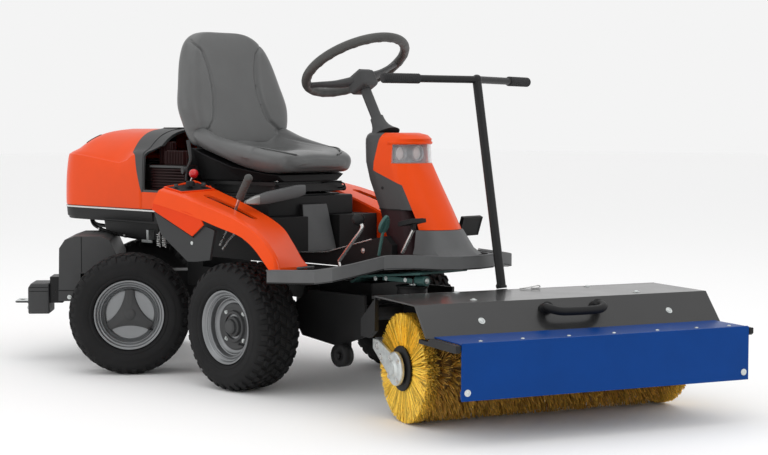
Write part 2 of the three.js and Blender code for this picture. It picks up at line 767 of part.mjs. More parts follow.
function chokeKnob() {
  const knob = rod([-300, -330, 641], [-300, -330, 657], 15, 14);
  return join(knob, rod([-300, -330, 637], [-300, -330, 645], 5, 8));
}

function forwardPedal() {
  const arm = rod([514, -150, 452], [566, -150, 532], 5, 8);
  const pad = new THREE.BoxGeometry(62, 60, 12).rotateY(-12 * DEG).translate(556, -150, 548);
  return join(arm, pad, box(556, 568, -156, -144, 526, 548));
}

function reversePedal() {
  const arm = rod([470, -206, 446], [486, -206, 520], 5, 8);
  const pad = new THREE.BoxGeometry(16, 46, 58).rotateY(24 * DEG).translate(490, -206, 540);
  return join(arm, pad);
}

function brakePedal() {
  const pad = new THREE.BoxGeometry(12, 90, 64).rotateY(20 * DEG).translate(478, 190, 520);
  return join(pad, rod([478, 160, 505], [452, 140, 440], 7, 8));
}

function releaseLever() {
  const foot = [286, -200, 418];
  const bend = [392, -200, 526];
  const head = [374, -200, 551];
  return join(rod(foot, bend, 6, 8), ball(bend, 6.5), rod(bend, head, 6, 8), ball(head, 21));
}

// ---------------------------------------------------------------- rear section
function rearFrame() {
  const ringOuter = rod([0, 0, 196], [0, 0, 344], 52, 20);
  const bore = rod([0, 0, 150], [0, 0, 400], 20 + PLAY, 20);
  const beam = join(box(-500, -30, -55, 55, 216, 320), box(-543, -498, -55, 55, 206, 300));
  const reach = HALF_TRACK - 46;
  const axle = rod([-REAR_ARM, -reach, TYRE_RADIUS], [-REAR_ARM, reach, TYRE_RADIUS], 30, 16);
  const gearbox = box(-320, -140, -120, 120, 150, 290);
  return cut(join(ringOuter, beam, axle, gearbox), bore);
}

function rearCover() {
  const outline = [[-498, 224], [-494, 410], [-474, 440], [-440, 452], [-350, 452], [-318, 438],
    [-292, 380], [-292, 321]];
  const block = sidePlate([...outline, [-420, 321], [-420, 224]], -165, 165);
  return cut(block, box(-600, -200, -56, 56, 200, 320 + GAP));
}

function rearBumper() {
  const block = sidePlate([[-619, 168], [-619, 262], [-609, 277], [-544, 277], [-544, 168]], -68, 68);
  return join(block, box(-668, -610, -45, 45, 206, 212));
}

// ---------------------------------------------------------------- broom
function liftFrame() {
  const pivot = rod([80, -205, 250], [80, 205, 250], 11, 12);
  const cheek = [[60, 262], [66, 232], [112, 170], [280, 150], [402, 190], [402, 318], [150, 318]];
  const cheeks = [-1, 1].map((side) => sidePlate(cheek, side * 196 - 5, side * 196 + 5));
  const cross = box(360, 400, -200, 200, 236, 276);
  const tongueOutline = [[380, 236], [380, 300], [640, 320], [700, 340], [948, 340], [948, 324],
    [710, 322], [650, 290], [420, 236]];
  const tongue = sidePlate(tongueOutline, -30, 30);
  const socket = rod([788, 0, 318], [785, 0, 352], 17, 14);
  const pinTop = rod([BROOM_X, 0, 324], [BROOM_X, 0, 341], 36, 20);
  return join(...cheeks, pivot, cross, tongue, pinTop, socket, ...rollerStubs());
}

const ROLLER_X = 322;
const ROLLER_Z = 128;

function rollerStubs() {
  return [-1, 1].map((side) => join(
    rod([ROLLER_X, side * 198, ROLLER_Z], [ROLLER_X, side * 240, ROLLER_Z], 9, 10),
    box(ROLLER_X - 11, ROLLER_X + 11, side * 196 - 5, side * 196 + 5, ROLLER_Z - 8, 170),
  ));
}

function guideRoller(side) {
  const wheel = rod([ROLLER_X, side * 204, ROLLER_Z], [ROLLER_X, side * 236, ROLLER_Z], 36, 22);
  return cut(wheel, rod([ROLLER_X, side * 190, ROLLER_Z], [ROLLER_X, side * 250, ROLLER_Z], 9 + PLAY, 14));
}

// A bent sheet that follows an outline of [x, z] points.
function bentSheet(points, y0, y1) {
  const inner = points.map(([x, z], i) => {
    const before = points[Math.max(i - 1, 0)];
    const after = points[Math.min(i + 1, points.length - 1)];
    const run = new THREE.Vector2(after[0] - before[0], after[1] - before[1]).normalize();
    return [x + run.y * SHEET, z - run.x * SHEET];
  });
  return sidePlate([...points, ...inner.reverse()], y0, y1);
}

function hood() {
  return bentSheet([[HOOD_REAR, HOOD_TOP], [HOOD_FRONT, HOOD_TOP], [HOOD_LIP_X, HOOD_LIP_Z]],
    -HOOD_HALF, HOOD_HALF);
}

// A D-shaped handle standing on the hood's sloped face.
function hoodHandle() {
  const slope = new THREE.Vector2(HOOD_LIP_X - HOOD_FRONT, HOOD_LIP_Z - HOOD_TOP).normalize();
  const out = new THREE.Vector2(-slope.y, slope.x);
  const at = (down, lift, y) => {
    const x = HOOD_FRONT + slope.x * down + out.x * lift;
    const z = HOOD_TOP + slope.y * down + out.y * lift;
    return [x, y, z];
  };
  const feet = [-1, 1].map((side) => rod(at(50, 4, side * 84), at(50, 22, side * 84), 17, 14));
  const route = [at(50, 16, -84), at(48, 36, -66), at(46, 42, 0), at(48, 36, 66), at(50, 16, 84)];
  const grip = pipe(route, 11, 14, 8);
  return join(...feet, grip);
}

function carrierFrame() {
  const tube = box(-215, -165, -470, 470, 225, 275);
  const cheek = [[-205, 275], [-205, 300], [-96, 348], [40, 348], [40, 330], [-70, 326], [-150, 270]];
  const cheeks = [-1, 1].map((side) => sidePlate(cheek, side * 248 - 4, side * 248 + 4));
  const beam = box(-96, 40, -250, 250, 342, 348.7);
  const gusset = [[-112, 346], [-215, 275], [-215, 225], [-160, 225], [-116, 250]];
  const gussets = [-1, 1].map((side) => sidePlate(gusset, side * 464 - 6, side * 464 + 6));
  const ties = [box(-150, -90, -464, -248, 341, 348), box(-150, -90, 248, 464, 341, 348)];
  const chainCase = sidePlate([[-215, 278], [-150, 278], [34, 190], [40, 150], [22, 116], [-16, 112],
    [-60, 150], [-215, 218]], 447, 469);
  const spigot = rod([0, 443, BRUSH_Z], [0, 450, BRUSH_Z], 26, 18);
  return join(tube, ...cheeks, beam, ...gussets, ...ties, chainCase, spigot);
}

function bearingArm() {
  const disc = rod([0, -452, BRUSH_Z], [0, -460, BRUSH_Z], 48, 24);
  const top = 224 - GAP;
  const outline = [[-150, top], [-112, top], [36, 178], [14, 130], [-30, 126], [-150, 196]];
  const arm = sidePlate(outline, -460, -453);
  const cap = rod([0, -458, BRUSH_Z], [0, -472, BRUSH_Z], 18, 16);
  return join(disc, arm, cap);
}

function brushCore() {
  const shaft = rod([0, -451, BRUSH_Z], [0, 442.5, BRUSH_Z], 16, 16);
  const rings = [-1, 1].map((side) => rod([0, side * (BRUSH_HALF + GAP), BRUSH_Z],
    [0, side * (BRUSH_HALF + 5.5), BRUSH_Z], 64, 28));
  return join(shaft, ...rings);
}

function brushBristles() {
  const outer = BRUSH_RADIUS / Math.cos(Math.PI / 36);
  const profile = [[16 + GAP * 2, -BRUSH_HALF], [outer - 8, -BRUSH_HALF], [outer, -BRUSH_HALF + 14],
    [outer, BRUSH_HALF - 14], [outer - 8, BRUSH_HALF], [16 + GAP * 2, BRUSH_HALF]];
  return turned([...profile, profile[0]], 36).translate(0, 0, BRUSH_Z);
}

// The blue shelf in front of the hood, its two side arms and the rod that the flap hangs from.
function flapShelf() {
  const shelf = box(HOOD_LIP_X + 4, FLAP_X - 8, -FLAP_HALF, FLAP_HALF, HOOD_LIP_Z + 1, HOOD_LIP_Z + 5);
  const armOutline = [[HOOD_LIP_X - 60, 250], [FLAP_X, 250], [FLAP_X, 271], [HOOD_LIP_X + 6, 271],
    [HOOD_LIP_X - 6, 262], [HOOD_LIP_X - 60, 262]];
  const arms = [-1, 1].map((side) => sidePlate(armOutline, side * 462 - 7.2, side * 462 + 7.2));
  const bar = rod([FLAP_X - 12, -466, 262], [FLAP_X - 12, 466, 262], 6, 10);
  const web = box(FLAP_X - 60, FLAP_X - 10, -FLAP_HALF, FLAP_HALF, 266, HOOD_LIP_Z + 4);
  return join(shelf, ...arms, bar, web);
}

function splashFlap() {
  const half = FLAP_HALF - 2;
  const panel = box(FLAP_X - SHEET, FLAP_X, -half, half, FLAP_BOTTOM, HOOD_LIP_Z + 5);
  const hem = box(FLAP_X - 12, FLAP_X - SHEET, 2 - half, half - 2, FLAP_BOTTOM + 4, FLAP_BOTTOM + 26);
  return join(panel, hem);
}

const HANDLE_TOP = [681, 0, 977];

// The pole with its swept-back handlebar.
function angleHandle() {
  const half = 331;
  const sweep = 13.5 * DEG;
  const pole = rod([785, 0, 355], HANDLE_TOP, 13.5, 14);
  const bars = [-1, 1].map((side) => {
    const at = (r) => [HANDLE_TOP[0] - r * Math.sin(sweep), side * r * Math.cos(sweep), HANDLE_TOP[2]];
    return join(rod(HANDLE_TOP, at(half - 100), 11, 12), rod(at(half - 130), at(half), 15, 12));
  });
  return join(pole, ball(HANDLE_TOP, 15), ...bars);
}

// ---------------------------------------------------------------- putting it together
function addChassis() {
  part('main_frame', mainFrame(), BLACK_STEEL);
  part('front_axle', frontAxle(), ENGINE_GREY);
  part('engine_block', engineBlock(), ENGINE_GREY);
  part('bonnet_base', bonnetBase(), BLACK_PLASTIC);
  part('fender_right', fender(), ORANGE);
  part('fender_left', mirrored(fender()), ORANGE);
  part('side_panel_right', sidePanel(), CHARCOAL);
  part('side_panel_left', mirrored(sidePanel()), CHARCOAL);
  part('footplate', footplate(), CHARCOAL);
  part('tunnel', tunnel(), BLACK_PLASTIC);
  part('pulley_plate', pulleyPlate(), LINK_GREEN);
  part('fuel_hose', fuelHose(), BLACK_PLASTIC);
}

function addConsole() {
  part('console_shell', consoleShell(), CHARCOAL);
  part('console_cover', consoleCover(), ORANGE);
  part('console_skirt', consoleSkirt(), CHARCOAL);
  part('headlight_lens', headlightLens(), CLEAR);
  part('headlamp_unit', headlampUnit(), RIM_SILVER);
  part('steering_column', steeringColumn(), CHARCOAL);
  part('steering_wheel', steeringWheel(), CHARCOAL);
}

function addControls() {
  part('lift_lever', liftLever(), CHARCOAL);
  part('side_lever', sideLever(), CHARCOAL);
  part('throttle_lever', throttleLever(), RED_PLASTIC);
  part('choke_knob', chokeKnob(), BLACK_PLASTIC);
  part('forward_pedal', forwardPedal(), BLACK_PLASTIC);
  part('reverse_pedal', reversePedal(), LINK_GREEN);
  part('brake_pedal', brakePedal(), BLACK_PLASTIC);
  part('release_lever', releaseLever(), ZINC);
}

function addBodywork() {
  part('bonnet', bonnet(), ORANGE);
  part('bonnet_panel', bonnetPanel(), CHARCOAL);
  part('intake_cowl', intakeCowl(), CHARCOAL);
  part('intake_grille', intakeGrille(), BLACK_PLASTIC);
  part('seat_support', seatSupport(), BLACK_STEEL);
  part('seat_pan', seatPan(), BLACK_PLASTIC);
  part('seat_cushion', seatCushion(), VINYL);
  part('seat_backrest', seatBackrest(), VINYL);
}

function addRear() {
  part('rear_frame', rearFrame(), BLACK_STEEL, rear);
  part('rear_cover', rearCover(), CHARCOAL, rear);
  part('rear_bumper', rearBumper(), CHARCOAL, rear);
}

function addBroom() {
  part('lift_frame', liftFrame(), BLACK_STEEL);
  part('guide_roller_right', guideRoller(-1), BLACK_PLASTIC);
  part('guide_roller_left', guideRoller(1), BLACK_PLASTIC);
  part('angle_handle', angleHandle(), BLACK_STEEL);
  part('carrier_frame', carrierFrame(), BLACK_STEEL, broom);
  part('bearing_arm', bearingArm(), ZINC, broom);
  part('hood', hood(), HOOD_PAINT, broom);
  part('hood_handle', hoodHandle(), BLACK_PLASTIC, broom);
  part('brush_core', brushCore(), BLACK_PLASTIC, broom);
  part('brush_bristles', brushBristles(), BRISTLE, broom);
  part('flap_shelf', flapShelf(), FLAP_BLUE, broom);
  part('splash_flap', splashFlap(), FLAP_BLUE, broom);
}

addChassis();
addWheels();
addConsole();
addControls();
addBodywork();
addRear();
addBroom();
machine.position.set(ORIGIN_X, ORIGIN_Y, 0);
machine.updateMatrixWorld(true);

export default machine;
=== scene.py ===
# Looks of the ride-on sweeper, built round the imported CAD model.
# Drawing sizes are in millimetres from the centre of the front axle's ground line; the Place
# matrices below turn them into the frame's metres.
import math

import bpy
import bmesh
import numpy as np
from mathutils import Matrix, Vector


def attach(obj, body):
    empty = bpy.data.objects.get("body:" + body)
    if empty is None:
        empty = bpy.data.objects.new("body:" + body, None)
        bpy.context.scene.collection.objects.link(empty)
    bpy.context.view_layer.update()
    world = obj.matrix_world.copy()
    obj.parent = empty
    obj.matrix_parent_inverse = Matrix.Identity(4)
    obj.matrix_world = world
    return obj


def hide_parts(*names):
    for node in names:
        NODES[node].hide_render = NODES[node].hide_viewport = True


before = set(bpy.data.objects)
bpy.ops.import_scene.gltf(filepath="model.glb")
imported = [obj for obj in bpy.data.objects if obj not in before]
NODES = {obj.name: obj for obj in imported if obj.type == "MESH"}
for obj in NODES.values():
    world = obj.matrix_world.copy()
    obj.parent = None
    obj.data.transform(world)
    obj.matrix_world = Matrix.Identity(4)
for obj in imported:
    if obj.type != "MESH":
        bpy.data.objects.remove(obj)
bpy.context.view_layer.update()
SCENE = bpy.context.scene
RNG = np.random.default_rng(7)

FRAME_SHIFT = (-101.7, 45.9, 0.0)
PIVOT_X = -662
REAR_LOCK = math.radians(49.5)
REAR_ARM = 228
HALF_TRACK = 355
TYRE_RADIUS = 203.5
BROOM_X = 925
BROOM_YAW = math.radians(-20)
BRUSH_HALF = 436
BRUSH_RADIUS = 156.5
BONNET_HALF = 270
BONNET_TAIL = -1240

T = Matrix.Translation
MACHINE = Matrix.Scale(0.001, 4) @ T(FRAME_SHIFT)
REAR = MACHINE @ T((PIVOT_X, 0, 0)) @ Matrix.Rotation(REAR_LOCK, 4, "Z")
BROOM = MACHINE @ T((BROOM_X, 0, 0)) @ Matrix.Rotation(BROOM_YAW, 4, "Z")


def wheel_place(base, x, side):
    turn = Matrix.Rotation(0 if side > 0 else math.pi, 4, "Z")
    return base @ T((x, side * HALF_TRACK, TYRE_RADIUS)) @ turn


# ------------------------------------------------------------------ camera, light and floor
def look_from(obj, place, target):
    obj.location = place
    obj.rotation_euler = (Vector(target) - Vector(place)).to_track_quat("-Z", "Y").to_euler()


def add_camera():
    data = bpy.data.cameras.new("camera")
    data.lens = 74.62
    data.sensor_width = 36
    camera = bpy.data.objects.new("camera", data)
    SCENE.collection.objects.link(camera)
    look_from(camera, (3.8270, -3.5058, 0.8333), (0.1797, 0.0459, 0.5136))
    SCENE.camera = camera


def add_area(name, place, target, size, power):
    data = bpy.data.lights.new(name, "AREA")
    data.shape = "RECTANGLE"
    data.size, data.size_y = size
    data.energy = power
    light = bpy.data.objects.new(name, data)
    SCENE.collection.objects.link(light)
    look_from(light, place, target)


def add_studio():
    world = bpy.data.worlds.new("studio")
    world.use_nodes = True
    background = world.node_tree.nodes["Background"]
    background.inputs["Color"].default_value = (0.905, 0.905, 0.905, 1)
    background.inputs["Strength"].default_value = 1.0
    SCENE.world = world
    add_area("top_softbox", (0.2, -0.4, 5.2), (0, 0, 0.4), (6.5, 5.5), 60)
    add_area("side_softbox", (-1.6, -4.4, 2.2), (-0.2, 0, 0.6), (2.4, 2.2), 12)
    add_area("front_softbox", (4.6, -0.4, 2.6), (0.4, 0, 0.4), (2.0, 2.4), 16)
    SCENE.view_settings.view_transform = "Standard"
    SCENE.view_settings.look = "None"


def add_floor():
    mesh = bpy.data.meshes.new("floor")
    half = 40
    mesh.from_pydata([(-half, -half, 0), (half, -half, 0), (half, half, 0), (-half, half, 0)], [],
                     [(0, 1, 2, 3)])
    floor = bpy.data.objects.new("floor", mesh)
    SCENE.collection.objects.link(floor)
    mat = bpy.data.materials.new("studio_floor")
    mat.use_nodes = True
    shader = mat.node_tree.nodes["Principled BSDF"]
    shader.inputs["Base Color"].default_value = (0.98, 0.98, 0.98, 1)
    shader.inputs["Roughness"].default_value = 0.9
    shader.inputs["Specular IOR Level"].default_value = 0.1
    mesh.materials.append(mat)


# ------------------------------------------------------------------ materials
def node(tree, kind, **inputs):
    made = tree.nodes.new(kind)
    for key, value in inputs.items():
        made.inputs[key.replace("_", " ")].default_value = value
    return made


def material(name, color, rough, metal=0.0, coat=0.0, vary=0.12, vary_scale=9.0, grain=0.15,
             grain_scale=900.0, cells=False, spec=0.5):
    """A surface whose colour and roughness drift a little, with a fine grain in its normals."""
    mat = bpy.data.materials.new(name)
    mat.use_nodes = True
    tree = mat.node_tree
    link = tree.links.new
    shader = tree.nodes["Principled BSDF"]
    shader.inputs["Metallic"].default_value = metal
    shader.inputs["Coat Weight"].default_value = coat
    shader.inputs["Coat Roughness"].default_value = 0.12
    shader.inputs["Specular IOR Level"].default_value = spec
    place = tree.nodes.new("ShaderNodeTexCoord")
    drift = node(tree, "ShaderNodeTexNoise", Scale=vary_scale, Detail=5.0, Roughness=0.6)
    link(place.outputs["Object"], drift.inputs["Vector"])
    ramp = tree.nodes.new("ShaderNodeValToRGB")
    ramp.color_ramp.elements[0].position = 0.3
    ramp.color_ramp.elements[1].position = 0.7
    ramp.color_ramp.elements[0].color = [c * (1 - vary) for c in color] + [1]
    ramp.color_ramp.elements[1].color = [min(c * (1 + vary), 1) for c in color] + [1]
    link(drift.outputs["Fac"], ramp.inputs["Fac"])
    link(ramp.outputs["Color"], shader.inputs["Base Color"])
    rough_range = node(tree, "ShaderNodeMapRange")
    rough_range.inputs["To Min"].default_value = max(rough - 0.06, 0.02)
    rough_range.inputs["To Max"].default_value = min(rough + 0.08, 1)
    link(drift.outputs["Fac"], rough_range.inputs["Value"])
    link(rough_range.outputs["Result"], shader.inputs["Roughness"])
    if cells:
        fine = node(tree, "ShaderNodeTexVoronoi", Scale=grain_scale)
        height = fine.outputs["Distance"]
    else:
        fine = node(tree, "ShaderNodeTexNoise", Scale=grain_scale, Detail=2.0)
        height = fine.outputs["Fac"]
    link(place.outputs["Object"], fine.inputs["Vector"])
    bump = node(tree, "ShaderNodeBump", Strength=grain, Distance=0.0006)
    link(height, bump.inputs["Height"])
    link(bump.outputs["Normal"], shader.inputs["Normal"])
    return mat


def glass(name, color, alpha):
    mat = material(name, color, 0.06, grain=0.02, vary=0.02, coat=0.6)
    mat.node_tree.nodes["Principled BSDF"].inputs["Alpha"].default_value = alpha
    return mat


ORANGE = material("orange_paint", (0.80, 0.068, 0.003), 0.34, coat=0.06, vary=0.03, grain=0.03,
                  grain_scale=260, spec=0.14)
DEEP_ORANGE = material("deep_orange", (0.76, 0.048, 0.002), 0.4, coat=0.04, vary=0.03, grain=0.03,
                       grain_scale=260, spec=0.1)
CHARCOAL = material("charcoal_plastic", (0.052, 0.053, 0.054), 0.5, grain=0.22, grain_scale=1100, spec=0.35)
DARK = material("dark_plastic", (0.011, 0.011, 0.0115), 0.5, grain=0.2, grain_scale=900, spec=0.22)
BLACK = material("black_steel", (0.008, 0.008, 0.0085), 0.42, grain=0.1, grain_scale=500, spec=0.3)
SKIRT = material("skirt_plastic", (0.100, 0.102, 0.104), 0.5, grain=0.2, grain_scale=1000, spec=0.35)
RUBBER = material("tyre_rubber", (0.011, 0.011, 0.0115), 0.7, grain=0.3, grain_scale=420, vary=0.25,
                  vary_scale=14, spec=0.22)
GRIP = material("grip_rubber", (0.018, 0.018, 0.019), 0.6, grain=0.3, grain_scale=700, spec=0.3)
RIM = material("silver_wheel", (0.235, 0.242, 0.248), 0.30, metal=0.8, grain=0.04, grain_scale=300,
               vary=0.05)
VINYL = material("seat_vinyl", (0.092, 0.094, 0.094), 0.38, grain=0.35, grain_scale=520, cells=True,
                 vary=0.08, coat=0.2)
HOOD = material("hood_paint", (0.014, 0.014, 0.014), 0.34, grain=0.05, grain_scale=800, vary=0.08, spec=0.5,
                coat=0.45)
BLUE = material("flap_blue", (0.0, 0.042, 0.215), 0.36, grain=0.06, grain_scale=300, vary=0.05, coat=0.04,
                spec=0.10)
ZINC = material("zinc_plate", (0.60, 0.63, 0.62), 0.34, metal=0.8, grain=0.08, grain_scale=120, vary=0.18,
                vary_scale=60)
STEEL = material("bright_steel", (0.66, 0.66, 0.65), 0.25, metal=0.9, grain=0.05, vary=0.08)
LENS = glass("clear_lens", (0.55, 0.58, 0.60), 0.22)
LAMP = material("lamp_bowl", (0.30, 0.31, 0.32), 0.2, metal=0.5, grain=0.02, vary=0.03)
RED = material("red_knob", (0.55, 0.006, 0.010), 0.28, coat=0.4, grain=0.03, vary=0.05)
MAROON = material("dark_maroon", (0.022, 0.006, 0.008), 0.5, grain=0.15, spec=0.25)
LOUVRE = material("louvre_plastic", (0.020, 0.004, 0.004), 0.48, grain=0.15, spec=0.2)
ENGINE = material("engine_casting", (0.06, 0.062, 0.065), 0.5, metal=0.5, grain=0.35, grain_scale=350)
LEVER_GREY = material("lever_grey", (0.098, 0.100, 0.102), 0.45, grain=0.15, grain_scale=900)
LAMP_FACE = material("lamp_face", (0.80, 0.84, 0.82), 0.10, grain=0.25, grain_scale=260, cells=True,
                     vary=0.03, coat=0.8)
# The bristles' own hue at about a quarter of their brightness: painted shade deep among the bristles.
SHADED_BRISTLE_BED = material("shaded_bristle_bed", (0.16, 0.085, 0.016), 0.8, vary=0.5, vary_scale=160, grain=0.8,
                       grain_scale=420)
MATT = material("matt_floor", (0.010, 0.010, 0.010), 0.9, grain=0.1, spec=0.0)
PANEL = material("side_panel_plastic", (0.030, 0.031, 0.032), 0.5, grain=0.2, grain_scale=1000, spec=0.3)
STEER = material("wheel_grip", (0.060, 0.060, 0.057), 0.48, grain=0.25, grain_scale=800, spec=0.4)
LEVER_TIP = material("lever_tip", (0.34, 0.34, 0.33), 0.32, metal=0.35, grain=0.03, vary=0.03)
GREEN = material("link_green", (0.030, 0.085, 0.078), 0.38, metal=0.3, grain=0.08, vary=0.2)


def bristle_material():
    """Golden bristles: brighter and yellower in the end rings, browner and darker between them."""
    mat = material("bristle", (0.66, 0.40, 0.065), 0.5, vary=0.22, vary_scale=160, grain=0.0, spec=0.3)
    tree = mat.node_tree
    link = tree.links.new
    shader = tree.nodes["Principled BSDF"]
    base = shader.inputs["Base Color"].links[0].from_socket
    mask = tree.nodes.new("ShaderNodeAttribute")
    mask.attribute_name = "end_ring"
    blend = tree.nodes.new("ShaderNodeMix")
    blend.data_type = "RGBA"
    blend.blend_type = "MULTIPLY"
    tint = tree.nodes.new("ShaderNodeMix")
    tint.data_type = "RGBA"
    tint.inputs["A"].default_value = (0.95, 0.86, 1.35, 1)
    tint.inputs["B"].default_value = (1.70, 1.85, 1.25, 1)
    link(mask.outputs["Fac"], tint.inputs["Factor"])
    tone = tree.nodes.new("ShaderNodeAttribute")
    tone.attribute_name = "tone"
    shade = tree.nodes.new("ShaderNodeMix")
    shade.data_type = "RGBA"
    shade.blend_type = "MULTIPLY"
    shade.inputs["Factor"].default_value = 1.0
    blend.inputs["Factor"].default_value = 1.0
    link(base, blend.inputs["A"])
    link(tint.outputs["Result"], blend.inputs["B"])
    link(blend.outputs["Result"], shade.inputs["A"])
    link(tone.outputs["Color"], shade.inputs["B"])
    link(shade.outputs["Result"], shader.inputs["Base Color"])
    return mat


BRISTLE = bristle_material()


# ------------------------------------------------------------------ mesh helpers, in millimetres
def smooth_line(points, per=8, closed=False):
    """Points along a smooth curve through the given ones."""
    p = np.array(points, float)
    n = len(p)
    spans = n if closed else n - 1
    out = []
    for i in range(spans):
        a = p[(i - 1) % n] if closed or i > 0 else 2 * p[0] - p[1]
        b, c = p[i], p[(i + 1) % n]
        d = p[(i + 2) % n] if closed or i + 2 < n else 2 * p[-1] - p[-2]
        for t in np.arange(per) / per:
            out.append(0.5 * (2 * b + (c - a) * t + (2 * a - 5 * b + 4 * c - d) * t ** 2
                              + (3 * b - a - 3 * c + d) * t ** 3))
    if not closed:
        out.append(p[-1])
    return np.array(out)


def rings(loops, cap=True, closed=False):
    """A skin through rings of equal length."""
    count = len(loops[0])
    verts = [tuple(v) for loop in loops for v in loop]
    faces = []
    last = len(loops) if closed else len(loops) - 1
    for r in range(last):
        a, b = r * count, ((r + 1) % len(loops)) * count
        for i in range(count):
            j = (i + 1) % count
            faces.append((a + i, a + j, b + j, b + i))
    if cap and not closed:
        faces.append(tuple(range(count))[::-1])
        faces.append(tuple(range((len(loops) - 1) * count, len(loops) * count)))
    return verts, faces


def tube(points, radius, sides=14, closed=False):
    """A round tube along points; radius is one number or one for each point."""
    p = np.array(points, float)
    n = len(p)
    radii = np.full(n, radius, float) if np.isscalar(radius) else np.array(radius, float)
    if closed:
        tangents = np.roll(p, -1, 0) - np.roll(p, 1, 0)
    else:
        tangents = np.gradient(p, axis=0)
    tangents /= np.linalg.norm(tangents, axis=1)[:, None]
    side = np.cross(tangents[0], [0, 0, 1.0])
    if np.linalg.norm(side) < 1e-3:
        side = np.cross(tangents[0], [0, 1.0, 0])
    loops = []
    for i in range(n):
        side = side - tangents[i] * (side @ tangents[i])
        side /= np.linalg.norm(side)
        up = np.cross(tangents[i], side)
        angles = np.linspace(0, 2 * math.pi, sides, endpoint=False)
        loops.append(p[i] + radii[i] * (np.outer(np.cos(angles), side) + np.outer(np.sin(angles), up)))
    return rings(loops, closed=closed)


def cylinder(a, b, radius, sides=24, radius_b=None):
    return tube([a, b], [radius, radius if radius_b is None else radius_b], sides)


def spin(profile, segments=48, closed=True):
    """A profile of (radius, along) turned about the Y axis."""
    loops = []
    for k in range(segments):
        angle = 2 * math.pi * k / segments
        loops.append([(r * math.cos(angle), y, r * math.sin(angle)) for r, y in profile])
    count = len(profile)
    verts = [v for loop in loops for v in loop]
    faces = []
    for k in range(segments):
        a, b = k * count, ((k + 1) % segments) * count
        for i in range(count if closed else count - 1):
            j = (i + 1) % count
            faces.append((a + i, a + j, b + j, b + i))
    return verts, faces


def prism(outline, axis, low, high):
    """An outline pushed along an axis: axis "y" takes (x, z) pairs, "z" takes (x, y), "x" takes (y, z)."""
    def point(p, h):
        return {"x": (h, p[0], p[1]), "y": (p[0], h, p[1]), "z": (p[0], p[1], h)}[axis]
    return rings([[point(p, low) for p in outline], [point(p, high) for p in outline]])


def block(x0, x1, y0, y1, z0, z1):
    return prism([(x0, y0), (x1, y0), (x1, y1), (x0, y1)], "z", z0, z1)


def globe(centre, radius, segments=24, levels=12):
    loops = []
    for i in range(1, levels):
        a = math.pi * i / levels
        r, z = radius * math.sin(a), radius * math.cos(a)
        loops.append([(centre[0] + r * math.cos(t), centre[1] + r * math.sin(t), centre[2] + z)
                      for t in np.linspace(0, 2 * math.pi, segments, endpoint=False)])
    return rings(loops)


def frame_at(origin, normal):
    """A matrix whose Z axis lies along normal, placed at origin."""
    turn = Vector(normal).to_track_quat("Z", "Y").to_matrix().to_4x4()
    return T(origin) @ turn


def moved(shape, matrix):
    return [tuple(matrix @ Vector(v)) for v in shape[0]], shape[1]


def bolt(place, normal, radius=6.0, height=4.0, washer=True, round_head=False):
    """A bolt head on its washer, standing on a face."""
    at = frame_at(place, normal)
    made = []
    if washer:
        made.append(moved(cylinder((0, 0, -0.5), (0, 0, 1.4), radius * 1.55, 24), at))
    if round_head:
        levels = [(0, 1.0), (0.5, 0.95), (0.85, 0.7), (1.0, 0.35)]
        loops = [[(radius * s * math.cos(t), radius * s * math.sin(t), height * h)
                  for t in np.linspace(0, 2 * math.pi, 20, endpoint=False)] for h, s in levels]
        made.append(moved(rings(loops), at))
    else:
        made.append(moved(cylinder((0, 0, 0), (0, 0, height), radius, 6), at))
        made.append(moved(cylinder((0, 0, height - 0.5), (0, 0, height + 1.2), radius * 0.55, 16), at))
    return made


def build_mesh(name, shapes, place):
    verts, faces = [], []
    for shape in shapes:
        start = len(verts)
        verts.extend(shape[0])
        faces.extend([tuple(i + start for i in f) for f in shape[1]])
    mesh = bpy.data.meshes.new(name)
    mesh.from_pydata([tuple(place @ Vector(v)) for v in verts], [], faces)
    work = bmesh.new()
    work.from_mesh(mesh)
    bmesh.ops.remove_doubles(work, verts=work.verts, dist=1e-6)
    bmesh.ops.recalc_face_normals(work, faces=work.faces)
    work.to_mesh(mesh)
    work.free()
    return mesh


def finish_shading(obj, bevel, angle=32, segments=2):
    mesh = obj.data
    mesh.polygons.foreach_set("use_smooth", [True] * len(mesh.polygons))
    if bevel:
        made = obj.modifiers.new("bevel", "BEVEL")
        made.width = bevel * 0.001
        made.segments = segments
        made.limit_method = "ANGLE"
        made.angle_limit = math.radians(angle)
        made.harden_normals = False
        made.use_clamp_overlap = True
        obj.modifiers.new("normals", "WEIGHTED_NORMAL").keep_sharp = True
    else:
        mesh.set_sharp_from_angle(angle=math.radians(angle))


def piece(name, shapes, mat, body, place=MACHINE, bevel=0.0, replaces=(), angle=32, segments=2):
    obj = bpy.data.objects.new(name, build_mesh(name, shapes, place))
    SCENE.collection.objects.link(obj)
    obj.data.materials.append(mat)
    finish_shading(obj, bevel, angle, segments)
    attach(obj, body)
    if replaces:
        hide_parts(*replaces)
    return obj


def apply_modifiers(obj):
    """Bakes the object's modifiers into its mesh."""
    graph = bpy.context.evaluated_depsgraph_get()
    made = bpy.data.meshes.new_from_object(obj.evaluated_get(graph))
    obj.modifiers.clear()
    obj.data = made


def carve(obj, *shapes, place=MACHINE):
    """Cuts closed shapes out of a piece."""
    for shape in shapes:
        tool = bpy.data.objects.new("tool", build_mesh("tool", [shape], place))
        SCENE.collection.objects.link(tool)
        cutter = obj.modifiers.new("cut", "BOOLEAN")
        cutter.operation = "DIFFERENCE"
        cutter.solver = "EXACT"
        cutter.object = tool
        bpy.context.view_layer.update()
        apply_modifiers(obj)
        bpy.data.objects.remove(tool)


def mirror_y(shapes):
    return [([(x, -y, z) for x, y, z in verts], [f[::-1] for f in faces]) for verts, faces in shapes]


